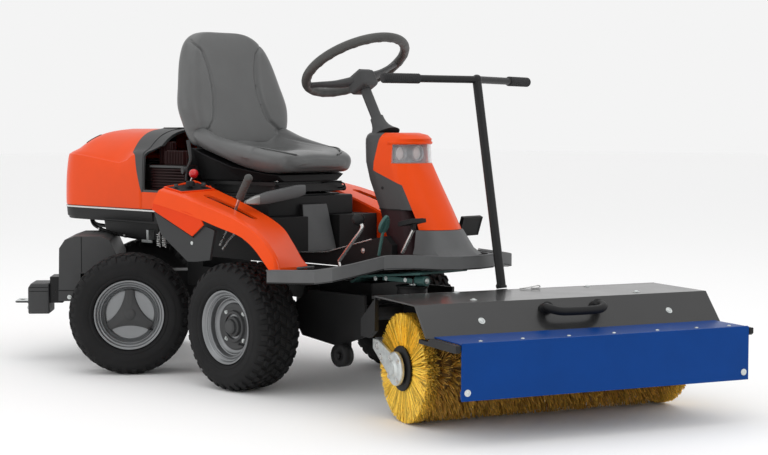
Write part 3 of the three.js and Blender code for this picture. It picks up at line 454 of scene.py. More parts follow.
# ------------------------------------------------------------------ CAD nodes that stay in view
def dress(names, mat, bevel=2.0, angle=32):
    for name in names:
        obj = NODES[name]
        obj.data.materials.clear()
        obj.data.materials.append(mat)
        weld = obj.modifiers.new("weld", "WELD")
        weld.merge_threshold = 1e-5
        finish_shading(obj, bevel, angle)


def dress_cad():
    dress(["main_frame", "lift_frame", "carrier_frame", "rear_frame", "seat_support"], BLACK, 2.5)
    dress(["front_axle"], ENGINE, 3)
    dress(["engine_block"], ENGINE, 6)
    dress(["bonnet_base", "tunnel", "seat_pan", "intake_grille"], DARK, 3)
    dress(["side_panel_right", "side_panel_left"], PANEL, 2)
    dress(["rear_cover", "rear_bumper"], CHARCOAL, 9)
    dress(["footplate", "console_skirt"], SKIRT, 3)
    dress(["console_shell", "intake_cowl", "bonnet_panel", "steering_column"], CHARCOAL, 1.6, 40)
    dress(["console_cover"], ORANGE, 1.6, 40)
    dress(["headlight_lens"], LENS, 0, 40)
    dress(["headlamp_unit"], LAMP, 1)
    dress(["pulley_plate", "reverse_pedal"], GREEN, 1.5)
    dress(["fuel_hose", "angle_handle", "brush_core", "guide_roller_right", "guide_roller_left"], DARK, 0,
          40)
    dress(["lift_lever", "side_lever"], CHARCOAL, 2.5)
    dress(["throttle_lever"], RED, 0, 60)
    dress(["choke_knob", "forward_pedal", "brake_pedal"], DARK, 2)
    dress(["release_lever"], STEEL, 0, 50)
    dress(["bearing_arm"], ZINC, 1.2)
    dress(["hood"], HOOD, 1.2)
    dress(["hood_handle"], DARK, 0, 50)
    dress(["splash_flap", "flap_shelf"], BLUE, 1.0)
    dress(["fender_right", "fender_left", "bonnet"], ORANGE, 2, 40)
    dress(["rear_right_cap", "rear_left_cap"], CHARCOAL, 3)
    for side in ("right", "left"):
        dress([f"front_{side}_tyre", f"rear_{side}_tyre"], RUBBER, 3)
        dress([f"front_{side}_rim", f"rear_{side}_rim"], RIM, 2)
    dress(["steering_wheel"], CHARCOAL, 2, 50)



# ------------------------------------------------------------------ wheels
TREAD = [(0, 203.4), (48, 203.4), (57, 202.2), (66, 198.6), (74, 191.5), (80, 183), (84, 172)]
GROOVE_DEPTH = 7.0


def tread_radius(y):
    return float(np.interp(abs(y), [p[0] for p in TREAD], [p[1] for p in TREAD]))


def carcass_profile():
    side = [(104.6, 60), (108, 64.6), (118.8, 65.4), (120.5, 71), (123.5, 76.5), (128, 79.2), (131, 79.6),
            (133, 78.6), (140, 82.6), (152, 85.0), (158, 85.2), (160, 84.2), (163, 84.4), (172, 82.6)]
    over = [(tread_radius(y) - GROOVE_DEPTH * min(1, (86 - y) / 14), y)
            for y in (82, 78, 73, 66, 57, 48, 36, 24, 12)]
    half = side + over
    return half + [(tread_radius(0) - GROOVE_DEPTH, 0)] + [(r, -y) for r, y in reversed(half)]


def tread_block(angle, length, y0, y1, shear, steps):
    """One rubber block with chamfered edges, its top following the tread's crown."""
    loops = []
    for drop, inset in ((GROOVE_DEPTH + 1.5, -1.4), (1.5, 0.0), (0.0, 1.5)):
        left, right = [], []
        for k in range(steps + 1):
            share = k / steps
            y = (y0 + inset) + (y1 - y0 - 2 * inset) * share
            r = tread_radius(y) - drop
            middle = angle + shear * (share - 0.5)
            half = length / 2 - inset / 203.0
            left.append((r * math.sin(middle - half), y, r * math.cos(middle - half)))
            right.append((r * math.sin(middle + half), y, r * math.cos(middle + half)))
        loops.append(left + right[::-1])
    count = len(loops[0])
    verts = [v for loop in loops for v in loop]
    faces = []
    for r in range(2):
        for i in range(count):
            j = (i + 1) % count
            faces.append((r * count + i, r * count + j, (r + 1) * count + j, (r + 1) * count + i))
    top = 2 * count
    for k in range(steps):
        faces.append((top + k, top + k + 1, top + count - 2 - k, top + count - 1 - k))
    return verts, faces


def tyre_shapes():
    shapes = [spin(carcass_profile(), 72)]
    pitches = 36
    step = 2 * math.pi / pitches
    for i in range(pitches):
        a = i * step
        shapes.append(tread_block(a, step * 0.60, -10, 10, 0.05, 2))
        for side in (-1, 1):
            lo, hi = sorted((side * 15, side * 33))
            shapes.append(tread_block(a + step * 0.5, step * 0.62, lo, hi, -0.05 * side, 2))
            lo, hi = sorted((side * 38, side * 56))
            shapes.append(tread_block(a, step * 0.58, lo, hi, 0.04 * side, 2))
            reach = 81 if i % 2 else 75
            lo, hi = sorted((side * 61, side * reach))
            shapes.append(tread_block(a + step * 0.5, step * 0.50, lo, hi, 0.0, 3))
    return shapes


def rim_shell(disc, barrel):
    """The pressed wheel: rolled lips, a raised ring, a deep barrel and the disc."""
    return [(112, 66), (116.5, 67.5), (118, 70), (116.8, 72.3), (113, 72.4), (110, 70), (107.5, 64),
            (103.5, 60.5),
            (100.5, 57), (98.2, 58.8), (95.8, 59.3), (93.6, 57.4), (92.4, 52), (91, 40), (barrel, disc + 8),
            (barrel - 3, disc + 2), (barrel - 9, disc - 0.5), (60, disc + 0.5), (40, disc + 2),
            (28, disc + 2),
            (28, disc - 5), (88, disc - 6), (96, disc - 12), (97, -50), (103, -62), (108, -66),
            (116.5, -67.5), (118, -70), (116, -72.3), (112, -72), (112, -66), (103.5, -63.5), (103.5, 62)]


def hub_shapes(disc):
    """The front wheel's dark pressed hub with its grease cap and a raised ring."""
    dish = [(0, disc + 4), (18, disc + 4), (24, disc + 1.5), (60, disc + 1.2), (66, disc + 3.5),
            (72, disc + 3.5), (76, disc + 1.0), (76, disc - 2), (0, disc - 2)]
    cap = [(0, disc + 27), (18, disc + 26.5), (23, disc + 23), (24.5, disc + 14), (31, disc + 12),
           (33, disc + 3), (0, disc + 3)]
    collar = [(40, disc + 1), (40, disc + 8), (44, disc + 10), (49, disc + 9), (52, disc + 1)]
    return [spin(dish, 48, closed=False), spin(cap, 40, closed=False), spin(collar, 48, closed=True)]


def arm_cap_shapes(disc):
    """A three-armed plastic cap with a domed middle and a raised edge to each arm."""
    outline = []
    tip, half_tip, waist = 84.0, 14.0, 25.0
    for arm in range(3):
        turn = math.pi / 2 + arm * math.radians(120)
        along = np.array([math.cos(turn), math.sin(turn)])
        across = np.array([-along[1], along[0]])
        outline.append((along * tip - across * half_tip))
        outline.append((along * (tip + 3) - across * half_tip * 0.5))
        outline.append((along * (tip + 3) + across * half_tip * 0.5))
        outline.append((along * tip + across * half_tip))
        following = turn + math.radians(120)
        step = np.array([math.cos(following), math.sin(following)])
        side = np.array([-step[1], step[0]])
        start, end = along * tip * 0.97 + across * half_tip, step * tip * 0.97 - side * half_tip
        valley = np.array([math.cos(turn + math.radians(60)), math.sin(turn + math.radians(60))]) * waist
        for t in np.linspace(0.08, 0.92, 12):
            outline.append((1 - t) ** 2 * start + 2 * t * (1 - t) * valley + t ** 2 * end)
    def ring(scale, y):
        return [(p[0] * scale, y, p[1] * scale) for p in outline]
    star = rings([ring(1.0, disc + 1), ring(1.0, disc + 9), ring(0.965, disc + 11.5),
                  ring(0.90, disc + 12.5),
                  ring(0.55, disc + 15), ring(0.30, disc + 17), ring(0.05, disc + 18)])
    return [star, spin([(0, disc + 21), (16, disc + 20), (20, disc + 17.5), (20, disc + 14), (0, disc + 14)],
                       32, False)]


def valve_shapes(angle):
    at = (math.cos(angle), math.sin(angle))
    return [cylinder((94 * at[0], 46, 94 * at[1]), (82 * at[0], 66, 82 * at[1]), 4.2, 14, 3.4),
            cylinder((82 * at[0], 66, 82 * at[1]), (80 * at[0], 71, 80 * at[1]), 4.4, 12)]


def add_wheels():
    for side, word in ((-1, "right"), (1, "left")):
        for end, base, x in (("front", MACHINE, 0), ("rear", REAR, -REAR_ARM)):
            place = wheel_place(base, x, side)
            body = f"wheel_{end}_{word}"
            name = f"{end}_{word}"
            tyre = piece(f"{name}_treaded_tyre", tyre_shapes(), RUBBER, body, place, 0, [f"{name}_tyre"],
                         angle=38)
            tyre.data.update()
            disc, barrel = (31, 88) if end == "front" else (34, 86)
            piece(f"{name}_wheel", [spin(rim_shell(disc, barrel), 72)], RIM, body, place, 0, [f"{name}_rim"],
                  angle=42)
            if end == "front":
                piece(f"{name}_hub", hub_shapes(disc), CHARCOAL, body, place, 0.8)
                nuts = []
                for k in range(4):
                    t = math.radians(45 + 90 * k)
                    nuts += bolt((61 * math.cos(t), disc + 1, 61 * math.sin(t)), (0, 1, 0), 5, 4)
                piece(f"{name}_nuts", nuts, ZINC, body, place, 0.5)
            else:
                piece(f"{name}_arm_cap", arm_cap_shapes(disc), CHARCOAL, body, place, 0, [f"{name}_cap"],
                      angle=30)
            piece(f"{name}_valve", valve_shapes(math.radians(215 if side < 0 else -35)), GRIP, body,
                  place, 0.4)


# ------------------------------------------------------------------ seat
def fine(values, per):
    return smooth_line([(v, 0, 0) for v in values], per)[:, 0]


CUSHION = [(-22, 84, 706, 716, 718), (-27, 118, 698, 727, 729), (-44, 160, 686, 744, 744),
           (-110, 190, 684, 762, 755),
           (-220, 205, 704, 780, 752), (-330, 213, 736, 802, 756), (-405, 214, 757, 826, 772),
           (-440, 208, 770, 838, 792), (-458, 196, 780, 836, 800), (-466, 176, 792, 826, 806)]


def cushion_section(x, half, bottom, edge, middle, count=12):
    waist = (bottom + edge) / 2 + 2
    key = [(0, bottom), (0.55 * half, bottom), (0.88 * half, bottom + 3), (0.995 * half, waist - 4),
           (0.97 * half, waist + (edge - waist) * 0.62), (0.83 * half, edge),
           (0.66 * half, (edge + middle) / 2 + 1),
           (0.42 * half, middle), (0.0, middle + 3)]
    right = key[1:-1]
    loop = key + [(-y, z) for y, z in reversed(right)]
    line = smooth_line([(x, y, z) for y, z in loop], count, closed=True)
    return line


def add_cushion():
    columns = [fine([s[k] for s in CUSHION], 10) for k in range(5)]
    loops = [cushion_section(*row) for row in zip(*columns)]
    verts, faces = rings(loops)
    v = np.array(verts)
    depth = np.zeros(len(v))
    # a seam round each side bolster and a piped seam along the top of the front edge
    inset = np.interp(-v[:, 0], [22, 60, 110, 220, 330, 440], [70, 128, 158, 160, 160, 150])
    on_top = v[:, 2] > np.interp(-v[:, 0], [22, 110, 220, 330, 440], [708, 722, 740, 756, 800])
    d = np.abs(np.abs(v[:, 1]) - inset)
    depth += np.where(on_top & (v[:, 0] < -34), 5.0 * np.exp(-(d / 5.0) ** 2), 0)
    side_seam = np.abs(v[:, 0] + 168 - 0.35 * (v[:, 2] - 740))
    outer = np.abs(v[:, 1]) > inset
    depth += np.where(outer, 5.0 * np.exp(-(side_seam / 5.5) ** 2), 0)
    v[:, 2] -= np.where(on_top, depth, depth * 0.25)
    v[:, 1] -= np.sign(v[:, 1]) * np.where(on_top, 0.3 * depth, depth)
    cushion = piece("seat_cushion_cover", [([tuple(p) for p in v], faces)], VINYL, "seat", MACHINE, 0,
                    ["seat_cushion"], angle=80)
    piping = []
    for sign in (-1, 1):
        line = [(-x, sign * y, z) for x, y,
                z in ((36, 92, 744), (60, 128, 752), (110, 158, 763), (160, 161, 768))]
        piping.append(tube(smooth_line(line, 8), 2.6, 8))
    piece("seat_piping", piping, VINYL, "seat")


BACK = [(768, 176, 50), (776, 196, 68), (796, 208, 82), (846, 222, 87), (908, 231, 88), (984, 214, 85),
        (1060, 194, 80), (1112, 172, 70), (1142, 148, 58), (1160, 118, 42), (1168, 84, 26), (1170, 50, 10)]


def back_section(z, half, thick, count=10):
    centre = -456 - (z - 790) * 0.26
    key = [(-0.30 * half, -0.5), (-0.74 * half, -0.48), (-0.95 * half, -0.30), (-1.0 * half, 0.05),
           (-0.93 * half, 0.42), (-0.80 * half, 0.54), (-0.62 * half, 0.47), (-0.38 * half, 0.37), (0, 0.33)]
    loop = key + [(-y, d) for y, d in reversed(key[:-1])]
    return smooth_line([(centre + d * thick, y, z) for y, d in loop], count, closed=True)


def add_backrest():
    columns = [fine([s[k] for s in BACK], 12) for k in range(3)]
    loops = [back_section(*row) for row in zip(*columns)]
    verts, faces = rings(loops)
    v = np.array(verts)
    centre = -456 - (v[:, 2] - 790) * 0.26
    front = np.clip((v[:, 0] - centre) / 30.0, 0, 1)
    y, z = np.abs(v[:, 1]), v[:, 2]
    span = np.clip((z - 979) / 145, -1.15, 1.15)
    line = 100 + 34 * span ** 2 + 26 * np.clip(np.abs(span) - 0.82, 0, 1) / 0.33 * np.abs(span)
    inside = np.abs(span) < 1.12
    groove = np.exp(-((y - line) / 5.0) ** 2) * inside
    ends = np.exp(-((np.abs(z - 979) - 158) / 6.0) ** 2) * (y > 146)
    dent = 7.0 * np.clip(groove + ends, 0, 1)
    swell = 5.0 * np.clip((y - line) / 18, 0, 1) * np.clip((1.1 - np.abs(span)) / 0.25, 0, 1)
    v[:, 0] += (swell - dent) * front
    back = piece("seat_backrest_cover", [([tuple(p) for p in v], faces)], VINYL, "seat", MACHINE, 0,
                 ["seat_backrest"], angle=80)


def add_under_seat():
    shapes = []
    for side in (-1, 1):
        shapes.append(block(-430, -90, side * 118 - 14, side * 118 + 14, 653, 660))
        rail = [(-430, side * 118 - 9), (-430, side * 118 + 9), (-90, side * 118 + 9), (-90, side * 118 - 9)]
        shapes.append(prism(rail, "z", 660, 666))
    piece("seat_rails", shapes, STEEL, "seat_tilt_base", MACHINE, 1.5)
    springs = []
    for side in (-1, 1):
        turns, steps = 6, 96
        line = [(-150 + 17 * math.cos(2 * math.pi * turns * k / steps),
                 side * 96 + 17 * math.sin(2 * math.pi * turns * k / steps),
                 613 + 26 * k / steps) for k in range(steps + 1)]
        springs.append(tube(line, 3.0, 8))
    piece("seat_springs", springs, STEEL, "seat_tilt_base")
    loop = smooth_line([(-88, 60, 646), (-64, 66, 650), (-40, 88, 652), (-30, 112, 645), (-42, 126, 634),
                        (-70, 124, 628), (-88, 112, 632)], 8)
    piece("seat_catch_wire", [tube(loop, 2.4, 8)], DARK, "seat")


# ------------------------------------------------------------------ bonnet and intake
LEVELS = [(548, 2, 1), (556, 0, 0), (600, 0, 0), (640, 2, 0), (676, 5, 1), (702, 9, 3), (716, 12, 5),
          (722, 15, 6),
          (725, 18, 10), (736, 30, 17), (752, 46, 29), (770, 66, 44), (788, 92, 62), (804, 124, 84),
          (816, 160, 108), (824, 204, 138), (829, 250, 172)]


def bonnet_outline(front, tail_inset, side_inset, corner=150):
    half = BONNET_HALF - side_inset
    tail = BONNET_TAIL + tail_inset
    corner = min(corner, half * 0.62)
    back = tail + corner
    right = [(front + (back - front) * f, -half)
             for f in (0, 0.05, 0.11, 0.17, 0.23, 0.29, 0.36, 0.5, 0.65, 0.8, 0.92)]
    for i in range(13):
        a = -math.pi / 2 - (i / 12) * (math.pi / 2)
        right.append((back + corner * math.cos(a), -half + corner + corner * math.sin(a)))
    right += [(tail, -(half - corner) * s) for s in (0.66, 0.33)]
    return right + [(tail, 0)] + [(x, -y) for x, y in reversed(right)]


def crease_lift(x, z):
    """The shoulder crease runs down towards the front and turns up again before the saddle."""
    shift = float(np.interp(x, [-1240, -1060, -800, -755, -720, -656], [16, 12, -16, -4, 16, 20]))
    return shift * math.exp(-((z - 722) / 26) ** 2)


def bonnet_half(z):
    """Half the bonnet's width at a height."""
    levels = fine([l[0] for l in LEVELS], 3)
    return BONNET_HALF - float(np.interp(z, levels, fine([l[2] for l in LEVELS], 3)))


def add_bonnet():
    heights = fine([l[0] for l in LEVELS], 3)
    tails = fine([l[1] for l in LEVELS], 3)
    sides = fine([l[2] for l in LEVELS], 3)
    loops = []
    for z, t, s in zip(heights, tails, sides):
        loops.append([(x, y, z + crease_lift(x, z)) for x, y in bonnet_outline(-656, t, s)])
    verts, faces = rings(loops, cap=False)
    count = len(loops[0])
    faces = [f for f in faces if not {f[0] % count, f[1] % count} == {0, count - 1}]
    top = (len(loops) - 1) * count
    for k in range(count // 2):
        faces.append((top + k, top + k + 1, top + count - 2 - k, top + count - 1 - k))
    faces = [f for f in faces if len(set(f)) > 2]
    lid = piece("bonnet_shell", [(verts, faces)], ORANGE, "bonnet_lid", MACHINE, 0, ["bonnet"],
                angle=28)
    thick = lid.modifiers.new("thickness", "SOLIDIFY")
    thick.thickness = 0.004
    thick.offset = -1
    trim = [[(x, y, z) for x, y in bonnet_outline(-560, o, o)] for z,
            o in ((540, -1.5), (540, 4), (546, 4), (546, -1.5))]
    piece("bonnet_trim", [rings(trim, cap=False, closed=True)], STEEL, "chassis", MACHINE, 0.6)
    lower = [[(x, y, z) for x, y in bonnet_outline(-600, o, o)]
             for z, o in ((503, 30), (499, 24), (500, 10), (508, 3), (538, 1), (540, 6))]
    piece("bonnet_sill", [rings(lower, cap=False)], DARK, "chassis", MACHINE, 0, angle=40)
    panel = [[(x, y, z) for x, y in bonnet_panel_outline(o)] for z,
             o in ((829.4, 0), (832.5, 0), (834, 2.5))]
    piece("bonnet_top_panel", [rings(panel)], CHARCOAL, "bonnet_lid", MACHINE, 0, ["bonnet_panel"],
          angle=40)
    piece("bonnet_latch", [block(-700, -672, -14, 14, 834, 838), block(-694, -678, -10, 10, 838, 842)], DARK,
          "bonnet_lid", MACHINE, 1.5)
    piece("saddle_border", [saddle_border()], CHARCOAL, "bonnet_lid", MACHINE, 0, angle=35)
    vents = [corner_vent()]
    piece("bonnet_vents", vents + mirror_y(vents), DARK, "bonnet_lid", MACHINE, 0, angle=40)


def bonnet_panel_outline(o):
    right = [(-657, -112 + o), (-720, -108 + o), (-762, -98 + o), (-786, -74 + o), (-796 + o, -36)]
    return right + [(x, -y) for x, y in reversed(right)]


def border_back(z):
    return float(np.interp(z, [604, 614, 719, 733, 748, 790, 829],
                           [-657.5, -664, -703, -728, -741, -753, -764]))


def saddle_border():
    """The grey saddle's edge lapped over the front of the bonnet, from one side over the top to the other."""
    rows = []
    for z in np.concatenate([np.linspace(606, 700, 8), np.linspace(706, 829, 22)]):
        half = bonnet_half(z)
        rows.append([(x, -half, z + crease_lift(x, z)) for x in np.linspace(border_back(z), -655, 7)])
    edge = rows[-1][0][1]
    for y in np.linspace(edge * 0.75, 0, 4):
        rows.append([(x, y, 829.3) for x in np.linspace(border_back(829), -655, 7)])
    rows += [[(x, -y, z) for x, y, z in row] for row in reversed(rows[:-1])]
    middle = np.array([-700.0, 0.0, 640.0])

    def off(p, amount):
        away = np.array([0.0, p[1], max(p[2] - middle[2], 0) * 1.6])
        away /= np.linalg.norm(away)
        return tuple(np.array(p) + away * amount)

    return rings([[off(p, 1.8) for p in row] + [off(p, -2.0) for p in reversed(row)] for row in rows])


def corner_vent():
    """A small dark louvre let into the bonnet's rear right shoulder."""
    rows = []
    for z in np.linspace(776, 806, 7):
        levels = fine([l[0] for l in LEVELS], 3)
        tail = BONNET_TAIL + float(np.interp(z, levels, fine([l[1] for l in LEVELS], 3)))
        half = bonnet_half(z)
        corner = min(150, half * 0.62)
        row = []
        for i in np.linspace(3.6, 8.0, 9):
            a = -math.pi / 2 - (i / 12) * (math.pi / 2)
            row.append([(tail + corner + (corner + d) * math.cos(a),
                         -half + corner + (corner + d) * math.sin(a), z + d)
                        for d in (1.6, -3.0)])
        rows.append([p[0] for p in row] + [p[1] for p in reversed(row)])
    return rings(rows)


SADDLE_STATIONS = (-655, -630, -600, -556, -500, -430)


def saddle_section(x, inset):
    heights = np.concatenate([np.linspace(549, 700, 7), np.linspace(706, 829, 20)])
    right = [(x, -(bonnet_half(z) - inset), z - inset * (z > 700) + crease_lift(-656, z)) for z in heights]
    return right + [(px, -y, z) for px, y, z in reversed(right)]


def add_saddle():
    """The grey saddle ahead of the bonnet, open over the seat and with a window in each side."""
    shell = rings([saddle_section(x, 0) + saddle_section(x, 7)[::-1] for x in SADDLE_STATIONS])
    saddle = piece("saddle", [shell], CHARCOAL, "chassis", MACHINE, 0, ["intake_cowl"],
                   angle=35)
    room = prism([(-598, 900), (-598, 700), (-580, 500), (-300, 500), (-300, 900)], "y", -228, 228)
    window = [(-649, 616), (-649, 734), (-640, 748), (-606, 768), (-560, 780), (-502, 788), (-420, 792),
              (-420, 614)]
    carve(saddle, room, prism(window, "y", -400, 400))
    finish_shading(saddle, 1.4, 34)
    lower = [block(-655, -446, *sorted((s * 270.4, s * 272.6)), 549, 608) for s in (-1, 1)]
    piece("saddle_lower_sides", lower, ORANGE, "chassis", MACHINE, 1.0)


def add_intake():
    """Louvres behind the side windows: upright slats above a bar and level slats below it."""
    for side, word in ((-1, "right"), (1, "left")):
        y0, y1 = sorted((side * 229, side * 232))
        a0, a1 = sorted((side * 231, side * 243))
        b0, b1 = sorted((side * 231, side * 248))
        c0, c1 = sorted((side * 190, side * 193))
        d0, d1 = sorted((side * 192, side * 204))
        backing = [block(-644, -446, y0, y1, 602, 704), block(-562, -446, y0, y1, 704, 754),
                   block(-646, -562, c0, c1, 700, 784),
                   block(-646, -446, *sorted((side * 190, side * 232)), 700, 704)]
        slats = [block(x, x + 3.5, a0, a1, 706, 752) for x in range(-558, -450, 9)]
        slats += [block(x, x + 3.5, d0, d1, 706, 782) for x in range(-642, -566, 9)]
        slats += [block(-640, -448, a0, a1, z, z + 4) for z in range(616, 692, 10)]
        piece(f"intake_slats_{word}", backing + slats, LOUVRE, "chassis", MACHINE, 0.8)
        piece(f"intake_bar_{word}", [block(-642, -446, b0, b1, 694, 702)], CHARCOAL, "chassis", MACHINE, 1.5)
    stand_in = piece("intake_backing", [block(-645, -622, -226, 226, 640, 665)], DARK, "chassis", MACHINE,
                     1.0)
    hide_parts("intake_grille")


# ------------------------------------------------------------------ fenders
STATIONS = [((-378, 656), (-350, 632), (-366, 584)), ((-282, 632), (-247, 617), (-250, 566)),
            ((-155, 598), (-133, 594), (-110, 540)), ((-55, 568), (-34, 573), (-20, 520)),
            ((25, 540), (60, 548), (75, 500)), ((85, 510), (130, 522), (125, 480)),
            ((125, 470), (190, 484), (165, 455)),
            ((165, 424), (232, 443), (200, 425)), ((192, 401), (249, 402), (227, 401))]


def fender_lines(per=7):
    return [smooth_line([(s[k][0], 0, s[k][1]) for s in STATIONS], per)[:, [0, 2]] for k in range(3)]


def fender_section(inner, ridge, outer):
    """One closed section: flat top, a bevelled ridge, the drop to the lower edge and the inside skin."""
    top = Vector((inner[0], -250, inner[1]))
    crown = Vector((ridge[0], -420, ridge[1]))
    low = Vector((outer[0], -437, outer[1]))
    along = (crown - top).normalized()
    down = (low - crown).normalized()
    drop = Vector((0, 0, 1))
    points = [top + along * 2, top.lerp(crown, 0.3), top.lerp(crown, 0.6), crown - along * 20,
              crown - along * 16 - drop * 1.5,
              crown - along * 3 + down * 5, crown + down * 9, crown.lerp(low, 0.55), low]
    skin = [low + Vector((0, 6, 0)), crown + Vector((0, 7, -9)), top.lerp(crown, 0.5) - drop * 8,
            top + along * 5 - drop * 7,
            top + along * 5 - drop * 36, top - drop * 36, top - drop * 6, top - drop * 2]
    return [tuple(p) for p in points + skin]


def fender_shapes():
    inner, ridge, outer = fender_lines()
    main = rings([fender_section(a, b, c) for a, b, c in zip(inner, ridge, outer)])
    return [main]


def add_fenders():
    for side, word in ((-1, "right"), (1, "left")):
        flip = (lambda s: s) if side < 0 else mirror_y
        skin = piece(f"fender_skin_{word}", flip(fender_shapes()), ORANGE, "chassis", MACHINE, 0,
                     [f"fender_{word}"], angle=30)
        carve(skin, flip([slot_shape()])[0])
        finish_shading(skin, 1.2, 34)
        lower = [(-366, 588), (-372, 562), (-156, 484), (-96, 524), (-112, 545), (-180, 562), (-250, 571)]
        piece(f"fender_flank_{word}", flip([prism(lower, "y", -435.5, -430)]), DEEP_ORANGE, "chassis",
              MACHINE, 2.0)
        shapes = slot_lining()
        piece(f"lever_slot_{word}", flip(shapes if side > 0 else shapes[:2]), DARK, "chassis", MACHINE, 0)
        inner = [(-300, 640), (-282, 628), (-155, 594), (-55, 563), (25, 535), (85, 505), (125, 466),
                 (165, 421),
                 (192, 400), (120, 402), (28, 440), (-61, 478), (-126, 520), (-271, 566), (-300, 590)]
        piece(f"fender_inner_{word}", flip([prism(inner, "y", -250, -246.5)]), DEEP_ORANGE, "chassis",
              MACHINE, 1.0)


def slot_shape():
    ring = []
    for a in np.linspace(math.pi / 2, 3 * math.pi / 2, 9):
        ring.append((-200 + 16 * math.cos(a), -333.5 + 16 * math.sin(a)))
    for a in np.linspace(-math.pi / 2, math.pi / 2, 9):
        ring.append((28 + 16 * math.cos(a), -333.5 + 16 * math.sin(a)))
    return prism(ring, "z", 470, 700)


def slot_lining():
    """A dark trough under the slot, open along the lever's path."""
    xs = np.linspace(-226, 48, 12)
    heights = np.interp(xs, [-226, -133, -34, 48], [604, 588, 560, 532])
    left = [[(x, -356, h - 4), (x, -356, h - 30), (x, -350.5, h - 30), (x, -350.5, h - 4)] for x,
            h in zip(xs, heights)]
    verts_a = rings(left)
    verts_b = rings([[(x, y + 39.5, z) for x, y, z in loop] for loop in left])
    bed = rings([[(x, -352, h - 27), (x, -352, h - 32), (x, -315, h - 32), (x, -315, h - 27)]
                 for x, h in zip(xs, heights)])
    return [verts_a, verts_b, bed]


def fender_height(x, y):
    """Height of the right fender's flat top."""
    inner, ridge, _ = fender_lines()
    zi = np.interp(x, inner[:, 0], inner[:, 1])
    zr = np.interp(x, ridge[:, 0], ridge[:, 1])
    return zi + (zr - zi) * (abs(y) - 250) / 170


def add_control_panel():
    """The dark recessed plate round the throttle, with a raised lip, a knob and a small stub."""
    def sheet(x0, x1, y0, y1, lift):
        grid = []
        for x in np.linspace(x0, x1, 9):
            grid.append([(x, y, fender_height(x, y) + lift) for y in np.linspace(y0, y1, 9)])
        return grid
    top, bottom = sheet(-346, -262, -394, -266, 2.4), sheet(-346, -262, -394, -266, -2.0)
    loops = [t + b[::-1] for t, b in zip(top, bottom)]
    piece("control_plate", [rings(loops)], DARK, "chassis", MACHINE, 1.5)
    rim = [(-350, -398), (-258, -398), (-258, -262), (-350, -262)]
    line = []
    for (xa, ya), (xb, yb) in zip(rim, rim[1:] + rim[:1]):
        for t in np.linspace(0, 1, 8, endpoint=False):
            x, y = xa + (xb - xa) * t, ya + (yb - ya) * t
            line.append((x, y, fender_height(x, y) + 2.0))
    piece("control_lip", [tube(line, 3.2, 8, closed=True)], DEEP_ORANGE, "chassis")
    knob = [spin([(0, 16.5), (11, 16), (14.6, 13), (15.2, 3), (15.6, 0), (0, 0)], 28, False)]
    turn = T((-300, -330, 640.5)) @ Matrix.Rotation(math.radians(90), 4, "X")
    ribs = [cylinder((14.6 * math.cos(t), 2, 14.6 * math.sin(t)),
                     (13.6 * math.cos(t), 12, 13.6 * math.sin(t)), 1.2, 6)
            for t in np.linspace(0, 2 * math.pi, 14, endpoint=False)]
    piece("choke_knob_cap", [moved(s, turn)
                             for s in knob + ribs] + [cylinder((-300, -330, 636.5), (-300, -330, 644), 5)],
          DARK, "knob_choke", MACHINE, 0, ["choke_knob"])
    ball_line = [(-338, -300, 650), (-331, -300, 662), (-325, -300, 672)]
    piece("throttle_ball", [globe((-321, -300, 680), 15.5, 32, 18)], RED, "lever_throttle", MACHINE, 0,
          ["throttle_lever"])
    piece("throttle_stem", [tube(ball_line, 3.6, 10)], STEEL, "lever_throttle")
    route = smooth_line([(-374, -292, 655), (-370, -290, 694), (-354, -288, 724), (-361, -286, 758),
                         (-371, -284, 790)], 6)
    stub = [tube(route, np.interp(np.linspace(0, 1, len(route)), [0, 0.35, 0.5, 1], [4, 4, 5.5, 6.5]), 14)]
    stub += [cylinder((-382, -302, 688), (-378, -286, 690), 11, 22)]
    piece("panel_stub", stub, PANEL, "chassis", MACHINE)
    small = [cylinder((-286, -286, 640), (-286, -286, 650), 8, 20),
             cylinder((-322, -372, 636), (-322, -372, 647), 7, 20)]
    piece("panel_buttons", small, CHARCOAL, "chassis", MACHINE, 1.2)


# ------------------------------------------------------------------ steering and handlebar
WHEEL_CENTRE = Vector((150, 0, 1034))
STEER_AXIS = Vector((-0.5, 0, math.sqrt(0.75)))
STEER_FORWARD = Vector((math.sqrt(0.75), 0, 0.5))


def along_column(distance):
    return tuple(WHEEL_CENTRE - STEER_AXIS * distance)


def on_wheel(radius, degrees, drop=0.0):
    a = math.radians(degrees)
    spot = WHEEL_CENTRE + STEER_FORWARD * radius * math.cos(a) + Vector((0, radius * math.sin(a), 0))
    return np.array(spot - STEER_AXIS * drop)


def wheel_rim():
    """The grip: a ring with finger bumps along its underside and inner edge."""
    loops = []
    axis = np.array(STEER_AXIS)
    for k in range(144):
        degrees = k * 2.5
        out = on_wheel(1, degrees) - np.array(WHEEL_CENTRE)
        bump = 1.3 * max(0.0, math.sin(math.radians(degrees * 24)))
        loop = []
        for t in np.linspace(0, 2 * math.pi, 18, endpoint=False):
            under = max(0.0, -math.sin(t)) * 0.8 + max(0.0, -math.cos(t)) * 0.5
            r = 15.6 + bump * min(under, 1) - 1.0 * min(under, 1)
            loop.append(on_wheel(170, degrees) + out * r * math.cos(t) + axis * r * math.sin(t))
        loops.append(loop)
    return rings(loops, closed=True)


